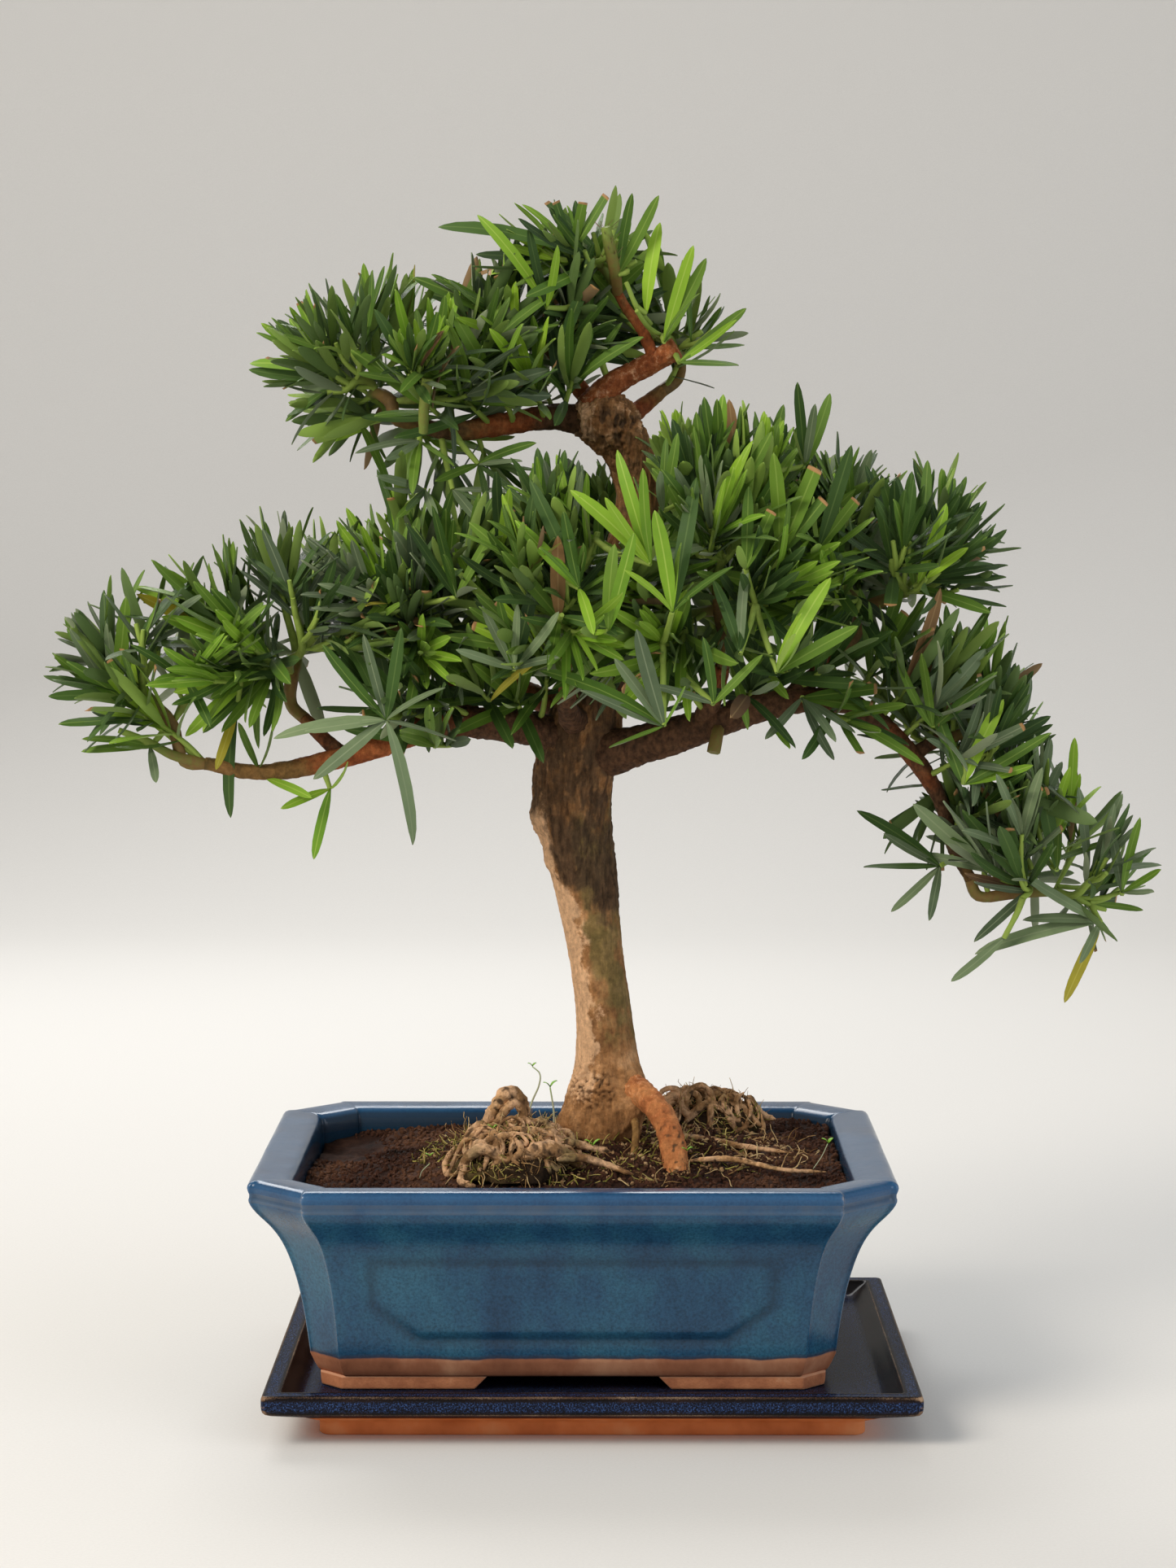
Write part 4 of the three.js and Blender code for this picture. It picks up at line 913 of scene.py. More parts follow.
def makeTrunk():
    def shape(turn, t, centre, outward):
        height = centre[2]
        flare = math.exp(-(height - 100) / 11)
        toes = 0.2 * flare * np.maximum(0, np.cos(1.5 * turn - 2.2)) ** 2
        radius = centre[3] * (1 + toes + 0.035 * np.sin(2 * turn + height * 0.05)
                              + 0.025 * np.sin(3 * turn - height * 0.09))
        for (wayX, wayY), lumpHeight, width, reach in trunkLook["lumps"]:
            way = np.array([wayX, wayY]) / math.hypot(wayX, wayY)
            side = (outward[:, 0] * way[0] + outward[:, 1] * way[1]).clip(-1, 1)
            distance = np.hypot(np.arccos(side) * centre[3], height - lumpHeight)
            radius = radius + reach * np.exp(-(distance / width) ** 2)
        return radius
    rings = limbRings(trunkPath, trunkLook["sides"], trunkLook["spacing"], shape)[0]
    # the trunk starts with a flat cut at soil level
    rings = rings[int(np.argmax(rings[..., 2].min(1) > trunkLook["foot"] - 0.1)):]
    rings[0, :, 2] = trunkLook["foot"]
    outward = rings - rings.mean(1, keepdims=True)
    outward /= np.linalg.norm(outward, axis=2)[..., None]
    flat = rings.reshape(-1, 3)
    height = flat[:, 2]
    leftward, frontward = -outward.reshape(-1, 3)[:, :2].T
    # old cracked bark above a line that falls to the right; smooth bark below
    line = trunkLook["oldBarkFrom"] - (flat[:, 0] + 18) * 0.95 - frontward * 2
    aboveLine = height + 9 * noiseAt(flat, 14, 3) - line
    dark = smoothStep(aboveLine, -7, 12) * (0.72 + 0.28 * np.exp(-((aboveLine - 9) / 9) ** 2))
    knob = np.exp(-((height - trunkLook["knobAt"]) / 9) ** 2) * smoothStep(leftward, 0.55, 0.9)
    dark *= 1 - 0.75 * knob
    lowDark = smoothStep(height, 330, 300) * 0.75 + 0.25
    cracks = np.abs(noiseAt(flat * (1, 1, 0.16), 2.6, 2))
    plates = noiseAt(flat * (1, 1, 0.45), 4.5, 3)
    fine = noiseAt(flat, 1.7, 2)
    knuckle = np.exp(-((height - trunkLook["knuckleAt"]) / 10) ** 2)
    rough = 0.25 + 0.75 * dark
    base = smoothStep(height, 128, 104)
    crumble = np.exp(-((height - trunkLook["crumblyAt"]) / 8) ** 2)
    crumble *= smoothStep(frontward + leftward * 0.7, 0.6, 1.1)
    relief = (trunkLook["cracks"] * rough * (np.minimum(cracks * 4, 1) - 0.75)
              + trunkLook["flakes"] * (0.6 + 2.2 * dark + 4.5 * knob + 3.6 * base + 7 * knuckle) * plates
              + trunkLook["grain"] * fine * (1 + 12 * crumble + 3 * knob + 1.5 * dark + 6 * knuckle))
    flat += outward.reshape(-1, 3) * relief[:, None]
    rings[0, :, 2] = trunkLook["foot"]
    # painted highlight: young bark facing left, towards the light, is painted pale; the knob and knuckle are
    # pale bark
    pale = (smoothStep(leftward + 0.3 * noiseAt(flat, 7, 3), 0.1, 0.6) * (1 - dark)
            * smoothStep(height, 106, 128) + 0.9 * knob + 0.55 * knuckle * smoothStep(plates, -0.1, 0.4))
    (whiteX, whiteZ), (ovalX, ovalZ) = trunkLook["whitePatch"], trunkLook["palePatch"]
    white = np.exp(-((flat[:, 0] - whiteX) / 1.9) ** 2 - ((height - whiteZ) / 2.6) ** 2) * (frontward > 0)
    oval = 0.6 * np.exp(-((flat[:, 0] - ovalX) / 3) ** 2 - ((height - ovalZ) / 5) ** 2) * (frontward > 0)
    damp = 0.45 + 0.55 * smoothStep(noiseAt(flat * (1, 1, 0.5), 11, 3), -0.5, 0.25)
    algae = (damp * smoothStep(frontward, -0.5, 0.3)
             * smoothStep(-leftward + 0.2 * noiseAt(flat, 6, 2), -0.5, 0.05)
             * smoothStep(height, 126, 150) * smoothStep(height, 280, 215)
             + 0.4 * knuckle * smoothStep(plates, 0.2, -0.3))
    aged = dark * (0.55 + 0.45 * lowDark) * (1 - 0.35 * smoothStep(plates, 0.1, 0.5))
    flaked = np.maximum(0.75 * crumble * smoothStep(fine, 0.1, -0.4),
                        0.5 * base * smoothStep(cracks, 0.14, 0.02))
    flaked += 0.8 * knuckle * smoothStep(plates, -0.05, -0.4)
    points, faces = skin(rings)
    ends = [0, 0]
    trunk = makePiece("trunkBark", points, faces, trunkBark, {
        "pale": list(np.maximum(pale, np.maximum(white * 1.5, oval))) + ends,
        "algae": list(algae * (1 - white)) + ends, "dark": list(np.maximum(aged, flaked)) + ends})
    handOver(trunk, "bark", "trunk")


boughLook = {"sides": 40, "spacing": 1.0, "relief": 0.42}


def boughShape(name):
    length = limbLength(limbs[name])

    def shape(turn, t, centre, outward):
        spots = centre[:3] + outward * centre[3]
        nodes = 0.1 * math.sin(t * length / 5.5) * centre[3] * 0.3
        swell = 0.07 * noiseAt(spots, 9, 2) * centre[3]
        plates = noiseAt(spots, 2.4, 3) * boughLook["relief"] * min(1.4, centre[3] / 4)
        return centre[3] + swell + nodes + plates
    return shape


# How dark and how green the bark is along each bough, from its foot to its tip.
barkShares = (0, 0.25, 0.45, 0.6, 0.75, 1)
plainTones = ((0.85, 0.6, 0.4, 0.3, 0.2, 0.1), (0, 0.1, 0.25, 0.4, 0.6, 0.9))
boughTones = {
    "bough_left": ((1, 0.95, 0.5, 0.02, 0, 0), (0, 0, 0, 0, 0.9, 1.7)),
    "bough_right": ((1, 1, 0.95, 0.9, 0.8, 0.7), (0, 0.1, 0.2, 0.2, 0.2, 0.2)),
    "bough_right_drop": ((0.9, 0.6, 0.6, 0.8, 0.8, 0.5), (0, 0.1, 0.1, 0.3, 0.5, 0.9)),
    "bough_right_crown": ((1, 0.9, 0.8, 0.7, 0.6, 0.5), (0, 0.1, 0.2, 0.2, 0.3, 0.4)),
    "bough_right_lower": ((0.9, 0.8, 0.7, 0.6, 0.6, 0.5), (0, 0.1, 0.2, 0.3, 0.4, 0.5)),
    "bough_right_centre": ((1, 0.9, 0.8, 0.7, 0.6, 0.5), (0, 0.1, 0.2, 0.2, 0.3, 0.4)),
    "bough_left_inner": ((1, 0.9, 0.8, 0.7, 0.6, 0.5), (0, 0.1, 0.2, 0.2, 0.3, 0.4)),
    "bough_left_outer": ((0.8, 0.7, 0.7, 0.6, 0.6, 0.5), (0, 0.2, 0.3, 0.4, 0.5, 0.6)),
    "bough_upper_left": ((1, 0.9, 0.3, 0.15, 0.6, 0.5), (0.2, 0.3, 0.1, 0.5, 0.9, 1)),
    "bough_centre_front": ((1, 1, 0.9, 0.8, 0.6, 0.4), (0, 0.1, 0.2, 0.3, 0.5, 0.8)),
    "stub_branch": ((0.35, 0.05, 0, 0, 0.05, 0.3), (0, 0, 0, 0, 0, 0)),
    "top_twig": ((0.3, 0.4, 0.3, 0.3, 0.4, 0.4), (0.1, 0.3, 0.4, 0.4, 0.4, 0.3)),
}


def makeBoughs():
    for name, path in boughs.items():
        rings, shares = limbRings(path, boughLook["sides"], boughLook["spacing"], boughShape(name))
        points, faces = skin(rings)
        dark, algae = (np.interp(shares + [0, 1], barkShares, tones)
                       for tones in boughTones.get(name, plainTones))
        pale = [0.34 if name == "stub_branch" else 0.08] * len(points)
        marks = {"pale": pale, "algae": algae, "dark": dark}
        bough = makePiece(name + "Bark", points, faces, boughBark, marks)
        handOver(bough, "red_bark", name)


rootLook = {"sides": 40, "spacing": 0.9, "soilSpots": 0.85, "green": {"root_right": 0, "root_thin": 0.9}}


def makeRoots():
    for name, path in roots.items():
        rings, shares = limbRings(path, rootLook["sides"], rootLook["spacing"], boughShape(name))
        points, faces = skin(rings)
        share = np.append(shares, [0, 1])
        # soil sticks to the lower half in spots
        spots = smoothStep(noiseAt(points, 2.4), 0.12, 0.4) * smoothStep(share, 0.3, 0.8)
        spots = rootLook["soilSpots"] * spots
        green = [rootLook["green"][name]] * len(points)
        root = makePiece(name + "Bark", points, faces, rootBark, {
            "pale": 0.4 * (1 - share), "algae": green, "dark": np.maximum(spots, 0.4 * (share > 0.93))})
        handOver(root, "red_bark", name)


patchSpacing = 41


# Patches about half that wide: above 0 inside one.
def patchAt(spot, shift):
    wave = 2 * math.pi / patchSpacing
    return (math.sin(spot.x * wave + shift) * math.sin(spot.y * wave * 1.3 + 2 * shift)
            + 0.6 * math.sin(spot.x * wave * 2.3 + spot.y * wave * 1.9 + shift) + 0.15)


# The heaps of old roots beside the trunk: rough mounds with coils of root over them.
heaps = {
    "root_heap_left": {"centre": (-31, -27, 92), "half": (24, 27, 17), "coils": 85, "seed": 5},
    "root_ridge_back": {"centre": (47, 46, 95), "half": (25, 11, 15), "coils": 38, "seed": 8},
}
heapLook = {
    "foot": 84, "sides": 120, "levels": 46,          # the mounds go down into the soil
    "lumps": 0.13, "lumpSize": 9,
    "coilSteps": 6, "coilHalf": (1.8, 5), "coilTurn": (2.4, 4),      # the least, and how much more at most
    "coilSides": 12, "coilSpacing": 1.2, "looseSides": 18, "looseSpacing": 1.1,
}
# Roots that lie over and beside the heaps, as x, y, z and radius.
looseRoots = [
    [[-10, 2, 100, 4.6], [-20, -4, 103, 4.8], [-30, -9, 104, 4.4], [-40, -14, 102, 3.4], [-47, -20, 96, 2.6]],
    [[-44, -16, 106, 2.4], [-38, -19, 117, 3], [-33, -20, 122.5, 3.2], [-28, -18, 117, 2.8],
     [-27, -14, 106, 2.4]],
    [[-41, -22, 104, 1.6], [-36, -22, 114, 1.8], [-31, -22, 119, 1.9], [-27, -21, 113, 1.6],
     [-24, -20, 104, 1.2]],
    [[-53, -40, 95, 1.8], [-47, -46, 103, 2.2], [-41, -48, 105, 2.3], [-37, -47, 101, 2.2],
     [-40, -46, 96.5, 2], [-45, -47, 97, 1.7]],
    [[-33, -42, 96, 2.6], [-24, -46, 103, 3.4], [-16, -46, 104.5, 3.6], [-10, -42, 101, 2.8],
     [-3, -38, 96, 2]],
    [[-14, -48, 101, 1.8], [-5, -46, 101.5, 1.7], [6, -44, 98, 1.3], [16, -48, 95, 1]],
    [[-22, -30, 107, 2], [-12, -30, 105, 1.8], [-2, -27, 102, 1.6], [8, -24, 99, 1.2]],
    [[24, 42, 101, 2.4], [34, 44, 109, 2.8], [45, 46, 111, 3], [58, 44, 107, 2.6], [70, 40, 98, 1.8]],
    [[38, 36, 100, 1.6], [46, 38, 107, 1.9], [54, 40, 105, 1.7], [60, 34, 96, 1.2]],
    [[28, 12, 98, 1.6], [42, 8, 99, 1.5], [60, -2, 97.5, 1.2], [80, -8, 96, 0.8]],
    [[38, -30, 97, 1.1], [55, -34, 98.5, 1.1], [74, -42, 96, 0.9], [92, -40, 94.5, 0.6]],
]


def coilPath(heap, random):
    centre, half = heap["centre"], heap["half"]
    turn, reach = random() * fullTurn, math.sqrt(0.02 + 0.95 * random())
    midX, midY = math.cos(turn) * reach * half[0], math.sin(turn) * reach * half[1]
    size = random() ** 2
    (least, more), (leastTurn, moreTurn) = heapLook["coilHalf"], heapLook["coilTurn"]
    radius = least + more * random()
    start, sweep = random() * fullTurn, leastTurn + moreTurn * random()
    upright = random()
    path = []
    for step in range(heapLook["coilSteps"]):
        angle = start + sweep * step / (heapLook["coilSteps"] - 1)
        x = centre[0] + midX + radius * math.cos(angle)
        y = centre[1] + midY + radius * math.sin(angle) * (1 - 0.6 * upright)
        inside = max(0, 1 - ((x - centre[0]) / half[0]) ** 2 - ((y - centre[1]) / half[1]) ** 2)
        z = max(centre[2] + math.sqrt(inside) * half[2], float(soilHeight(x, y)))
        z += radius * 0.8 * upright * math.sin(angle)
        path.append([x + random() - 0.5, y + random() - 0.5, z + 1.2 + 1.2 * random(),
                     0.4 + 1.1 * size + 0.3 * random()])
    return path


def plainShape(turn, t, centre, outward):
    spots = centre[:3] + outward * centre[3]
    rough = 0.26 * noiseAt(spots, 3.2, 2) + 0.16 * noiseAt(spots, 1.1, 2)
    return centre[3] * (1 + rough) * min(1, 0.35 + 6 * min(t, 1 - t))


def makeHeaps():
    for name, heap in heaps.items():
        random = seeded(heap["seed"])
        centre, half = np.array(heap["centre"]), np.array(heap["half"])
        around = np.linspace(0, 2 * math.pi, heapLook["sides"], endpoint=False)
        rings = []
        for level in np.linspace(0.02, 1.5, heapLook["levels"]):
            flatRing = np.column_stack([np.cos(around) * math.cos(level), np.sin(around) * math.cos(level)])
            ring = levelRing(flatRing, math.sin(level))
            lump = 1 + heapLook["lumps"] * noiseAt(centre + ring * half, heapLook["lumpSize"], 4)[:, None]
            spot = centre + ring * half * lump
            spot[:, 2] = np.maximum(spot[:, 2], heapLook["foot"])
            rings.append(spot)
        points, faces = skin(rings)
        green = np.clip(0.5 + 0.9 * noiseAt(points, 11), 0, 1)
        mound = makePiece(name + "Mound", points, faces, mossGround, {"tone": green})
        handOver(mound, "moss", name)
        scatterOver(name + "Rootlets", mound, lambda p: p.z > 90,
                    [makeThread(f"{name}thread{k}", k + 43, 1.3, 0.03, fibreMaterial) for k in range(5)],
                    {"density": 260000, "size": (4, 10), "sink": 0.3, "seed": 21}, fibreMaterial, "soil")
        scatterOver(name + "Moss", mound, lambda p: p.z > 90 and patchAt(p, 2.6) > -0.3,
                    [makeThread(f"{name}stem{k}", k + 53, 0.7, 0.06, mossMaterial) for k in range(5)],
                    {"density": 330000, "size": (2.5, 6), "sink": 0.1, "seed": 22}, mossMaterial, "moss")
        paths = [coilPath(heap, random) for coil in range(heap["coils"])]
        addTubes(name + "Coils", paths, heapLook["coilSides"], heapLook["coilSpacing"], name)
    addTubes("looseRoots", looseRoots, heapLook["looseSides"], heapLook["looseSpacing"], "root_heap_left")


# Several old roots joined into one piece.
def addTubes(name, paths, sides, spacing, node):
    points, faces = joined([skin(limbRings(path, sides, spacing, plainShape)[0]) for path in paths])
    green = np.clip(noiseAt(points, 13) * 1.3, 0, 0.7)
    pale = np.clip(0.45 + 1.2 * noiseAt(points + 50, 8), 0, 0.9)
    dark = np.clip(0.1 - 1.3 * noiseAt(points, 2.2, 2), 0, 0.8)
    piece = makePiece(name, points, faces, oldRootBark, {"pale": pale, "algae": green, "dark": dark})
    handOver(piece, "bark", node)


mossGround = makeSoilMaterial("mossyGround", "#170f09", "#35271a", "#62532f", 2)
soil = makeSoil()
makeTrunk()
makeBoughs()
makeRoots()
makeHeaps()


# Crumbs everywhere, tan grit near the trunk, and dry rootlets and moss in patches over the mound.
def inPot(spot, least, most):
    return spot.z > 86 and least <= fromTrunk(spot.x, spot.y) <= most


scatterOver("soilCrumbs", soil, lambda p: inPot(p, 0, 200),
            [makeCrumb(f"crumb{k}", k + 1, 0.8, crumbMaterial) for k in range(4)],
            {"density": 260000, "size": (0.6, 2.8), "sink": 0.1, "seed": 3}, crumbMaterial, "soil")
scatterOver("tanGrit", soil, lambda p: inPot(p, 8, 60) and patchAt(p, 0.4) > -0.3,
            [makeCrumb(f"grit{k}", k + 11, 0.7, gritMaterial) for k in range(4)],
            {"density": 110000, "size": (0.6, 2.3), "sink": 0.3, "seed": 5}, gritMaterial, "soil")
scatterOver("dryRootlets", soil, lambda p: inPot(p, 8, 70) and p.x > -62 and patchAt(p, 1.1) > -0.1,
            [makeThread(f"thread{k}", k + 3, 1.1, 0.032, fibreMaterial) for k in range(7)],
            {"density": 75000, "size": (4, 11), "sink": 0.3, "seed": 9}, fibreMaterial, "soil")
scatterOver("mossStems", soil, lambda p: inPot(p, 12, 62) and p.y < 40 and p.x < 62 and patchAt(p, 2.6) > 0,
            [makeThread(f"stem{k}", k + 23, 0.7, 0.06, mossMaterial) for k in range(7)],
            {"density": 130000, "size": (2.5, 7), "sink": 0.1, "seed": 12}, mossMaterial, "moss")


# Foliage. Each mass keeps to an egg-shaped space of its own and grows from the end of one limb: middle
# and half sizes of the space, main shoots, side shoots on each twig, how far out leaves may reach as a
# share of the space, and how often a spray has bright, mid, dark and dusty leaves. These shares also paint
# light: masses on the left, towards the light, get more bright leaves and more dusty ones as painted sheen,
# masses on the right more dark ones as painted shade.
massRow = namedtuple("massRow", "limb centre half shoots sideShoots reach palette")
masses = {
    "foliage_apex_top": ("top_twig", (0, -2, 454), (40, 38, 32), 6, 3, 0.93, (0.46, 0.36, 0.12, 0.06)),
    "foliage_apex_left": ("bough_apex_left", (-22, 8, 425), (40, 42, 40), 7, 5, 0.9, (0.2, 0.42, 0.24, 0.14)),
    "foliage_apex_right": ("bough_apex_right", (31, 10, 424), (36, 40, 30), 6, 2, 0.88,
                           (0.36, 0.4, 0.16, 0.08)),
    "foliage_upper_left": ("bough_upper_left", (-76, -6, 405), (55, 48, 43), 9, 5, 1.02,
                           (0.28, 0.4, 0.18, 0.14)),
    "foliage_left_tip": ("bough_left", (-167, -34, 293), (47, 42, 41), 7, 1, 0.94, (0.2, 0.32, 0.14, 0.34)),
    "foliage_left_outer": ("bough_left_outer", (-117, -16, 305), (46, 49, 51), 7, 3, 0.96,
                           (0.22, 0.36, 0.2, 0.22)),
    "foliage_left_inner": ("bough_left_inner", (-64, -10, 309), (46, 56, 49), 8, 8, 1.02,
                           (0.2, 0.38, 0.2, 0.22)),
    "foliage_centre_front": ("bough_centre_front", (-12, -48, 320), (44, 46, 54), 8, 8, 1.02,
                             (0.46, 0.36, 0.12, 0.06)),
    "foliage_right_centre": ("bough_right_centre", (48, -36, 330), (48, 50, 66), 9, 8, 1.02,
                             (0.44, 0.36, 0.14, 0.06)),
    "foliage_right": ("bough_right_crown", (113, -14, 329), (55, 55, 48), 9, 5, 0.97,
                      (0.18, 0.4, 0.34, 0.08)),
    "foliage_right_lower": ("bough_right_lower", (145, -12, 254), (43, 41, 51), 8, 3, 0.94,
                            (0.16, 0.36, 0.36, 0.12)),
    "foliage_right_tip": ("bough_right_drop", (183, -4, 208), (47, 42, 46), 7, 3, 0.92,
                          (0.04, 0.26, 0.34, 0.36)),
    "foliage_back_left": ("bough_back_left", (-69, 54, 314), (50, 46, 42), 6, 8, 1.02, (0.2, 0.4, 0.3, 0.1)),
    "foliage_back_centre": ("bough_back_centre", (14, 58, 332), (46, 44, 50), 6, 8, 0.92,
                            (0.2, 0.4, 0.3, 0.1)),
    "foliage_back_right": ("bough_back_right", (88, 54, 332), (50, 46, 50), 7, 8, 1.02, (0.2, 0.4, 0.3, 0.1)),
}
masses = {name: massRow(*row) for name, row in masses.items()}
massCentres = np.array([mass.centre for mass in masses.values()], float)
massHalves = np.array([mass.half for mass in masses.values()], float)

growth = {
    "twigRadius": 1.15, "leafyLength": 7.5,
    "finerShoots": 0.6,                        # share of the shoots on a twig that fork once more
    "sideLength": (12, 27), "sideAngle": (25, 60),
    "upward": 0.95,                            # how strongly shoots turn up
    "leavesPerShoot": (7, 12), "leafLength": (29, 43),
    "spread": (12, 54),                        # degrees from the shoot, at its tip and at its foot
    "trimmed": 0.22,                           # share of the shoots that were once cut back
    "standOut": 0.14,                          # how much further some leaves go out of their space
    "yellowFrom": 0.998, "dryFrom": 0.988,     # of a draw from 0 to 1
}

# Where limbs are, as beads, so that twigs and leaves keep clear of them.
beadRows = []
for limbPath in limbs.values():
    beadCount = len(limbPath) * 9
    beadRows += [limbPoint(limbPath, k / beadCount) for k in range(beadCount + 1)]
beads = np.array(beadRows)
beadPlaces, beadRadii = beads[:, :3], beads[:, 3] * 1.1


def depths(point):
    return np.linalg.norm((np.asarray(point, float) - massCentres) / massHalves, axis=1)


def belongsTo(index, point):
    every = depths(point)
    own = every[index]
    every[index] = 9
    return own < 1 and every.min() - own > 0.045


def clearOfLimbs(point, clearance):
    return bool((np.linalg.norm(beadPlaces - point, axis=1) > beadRadii + clearance).all())


def pushClear(point, clearance):
    for centre, radius in zip(beadPlaces, beadRadii):
        away = point - centre
        distance = np.linalg.norm(away)
        if distance < radius + clearance:
            point = centre + away * (radius + clearance) / distance
    return point


def unit(v):
    return v / (np.linalg.norm(v) + 1e-12)


def shootEnds(centre, half, shoots, random):
    turn = random() * math.pi * 2
    reach = np.array(half, float) - (21, 21, 26)
    ends = []
    for k in range(shoots):
        height = 1 - 1.8 * (k + 0.5) / shoots
        around = turn + k * goldenAngle
        level = math.sqrt(1 - height * height)
        outward = np.array([level * math.cos(around), level * math.sin(around), height])
        depth = 0.85 + 0.15 * random()
        tip = outward * reach * depth + centre
        sway = np.array([random() - 0.5, random() - 0.5, 0]) * 0.5
        ends.append((tip, unit(outward * 0.9 + (0, 0, 0.4) + sway)))
    return ends


def middleOf(ends):
    return sum(tip for tip, heading in ends) / len(ends)


# A twig runs half way to the middle of the ends it feeds and forks there, until each ends in one shoot.
def branch(path, ends, twigs):
    start = path[-1][:3]
    if len(ends) == 1:
        tip, heading = ends[0]
        heading = unit(heading + unit(tip - start))
        foot = tip - heading * growth["leafyLength"]
        twigs.append((path + [np.append(foot, growth["twigRadius"])], heading))
        return
    middle = middleOf(ends)
    fork = (start + middle) / 2
    fork[2] -= np.linalg.norm(middle - start) * 0.12
    if len(path) > 1:
        onward = unit(start - path[-2][:3])
        fork = fork + onward * max(0, 3 - (fork - start).dot(onward))
    fork = pushClear(fork, 6)
    tips = np.array([tip for tip, heading in ends])
    axis = int(np.argmax(tips.max(0) - tips.min(0)))
    ordered = sorted(ends, key=lambda end: end[0][axis])
    half = math.ceil(len(ordered) / 2)
    run = fork - start
    first, second = sorted([ordered[:half], ordered[half:]], key=lambda group: -run.dot(middleOf(group)))
    radius = growth["twigRadius"]
    branch(path + [np.append(fork, radius * len(ends) ** 0.4)], first, twigs)
    branch([np.append(fork, radius * len(second) ** 0.4 * 0.4)], second, twigs)


def twigFits(index, path, fromFoot):
    tested = path[1:] if fromFoot else path
    for before, after in zip(tested, tested[1:]):
        for share in np.linspace(0.1, 1, 10):
            spot = before + (after - before) * share
            if not (belongsTo(index, spot[:3]) and clearOfLimbs(spot[:3], spot[3] + 0.4)):
                return False
    return True


# Turns a way by an angle towards a side that stands square to it.
def lean(way, turn, angle):
    side = unit(np.cross(way, (0.31, 0.87, -0.38)))
    third = np.cross(way, side)
    return unit(way * math.cos(angle) + (side * math.cos(turn) + third * math.sin(turn)) * math.sin(angle))


twigPaths, leafRows = [], []
leafRow = namedtuple("leafRow", "kind root along face size tone shape")
# the shoots that close the crown low down are in shade
palettes = {name: mass.palette for name, mass in masses.items()}
palettes.update({"shade": (0.02, 0.2, 0.52, 0.26), "shadeGreen": (0.1, 0.4, 0.35, 0.15)})
leafKinds = ("bright", "mid", "dark", "dusty", "yellow", "dry")
bright, mid, dark, dusty, yellow, dry = range(len(leafKinds))
wholeShapes, cutShapes = 10, 2      # how many leaf shapes there are: whole ones first, then cut across


def pickKind(name, random, lit):
    shares = palettes[name]
    # painted light: a shoot that points up draws bright leaves more often, any other darker ones
    draw = random() ** (1.25 if lit > 0 else 0.85)
    for kind, share in enumerate(shares):
        if draw < share:
            return kind
        draw -= share
    return mid


# Limbs that stand bare before the foliage: x and z of both ends, how wide, and the y they lie at.
bareLimbs = [((-3, 392), (34, 419), 9, 2), ((31, 416), (3, 470), 9, 4), ((12, 350), (8, 394), 12, 4),
             ((-47, 386), (-28, 388), 5, -2)]


def hidesLimb(spot):
    for (x0, z0), (x1, z1), width, depth in bareLimbs:
        share = ((spot[0] - x0) * (x1 - x0) + (spot[2] - z0) * (z1 - z0)) / ((x1 - x0) ** 2 + (z1 - z0) ** 2)
        share = min(max(share, 0), 1)
        away = math.hypot(spot[0] - x0 - share * (x1 - x0), spot[2] - z0 - share * (z1 - z0))
        if spot[1] < depth and away < width:
            return True
    return False


def leafAllowed(root, along, length, reach):
    spots = [root + along * length * share for share in (0.15, 0.3, 0.45, 0.6, 0.8, 1)]
    return (all(depths(spot).min() < reach for spot in spots)
            and all(clearOfLimbs(spot, 1.6) for spot in spots[1:])
            and not any(hidesLimb(spot) for spot in spots))


# Leaves spiral up a shoot: the lowest are old, dark and wide open, the last stand almost straight on.
def dressShoot(foot, heading, length, name, random, limit=None):
    least, most = growth["leavesPerShoot"]
    count = round(least + (most - least) * random())
    kind = pickKind(name, random, heading[2])
    tone, turn = random(), random() * math.pi * 2
    vigour = 0.84 + 0.3 * random()
    trimmed = random() < growth["trimmed"]
    openness = 0.7 + 0.5 * random()
    limit = limit or masses[name].reach + growth["standOut"] * random() ** 2
    narrowest, widest = growth["spread"]
    shortest, longest = growth["leafLength"]
    for k in range(count):
        share = k / max(1, count - 1)
        root = foot + heading * length * (0.1 + 0.9 * share)
        spread = math.radians(openness * (widest + (narrowest - widest) * share) + 12 * (random() - 0.5))
        size = vigour * np.interp(share, [0, 0.35, 0.85, 1], [0.78, 1, 0.95, 0.7])
        size *= shortest + (longest - shortest) * random()
        for attempt in range(4):
            along = lean(heading, turn + k * goldenAngle + 0.8 * attempt, spread)
            along = unit(along + np.array([0, 0, 0.4 * share - 0.12]))
            if leafAllowed(root, along, size, limit):
                face = unit(heading - along * heading.dot(along) + np.array([0, -0.12, 0.2]))
                face = unit(face - along * face.dot(along))
                odd = random()
                old = share < 0.3 and kind < dark
                leafKind = (yellow if odd > growth["yellowFrom"] else dry if odd > growth["dryFrom"]
                            else kind + old)
                toneHere = tone + 0.3 * (share - 0.5) + 0.2 * (random() - 0.5)
                if trimmed and random() < 0.25:
                    shape = wholeShapes + int(random() * cutShapes)
                else:
                    shape = int(random() * wholeShapes)
                leafRows.append(leafRow(leafKind, root, along, face, size, toneHere, shape))
                break
            size *= 0.96


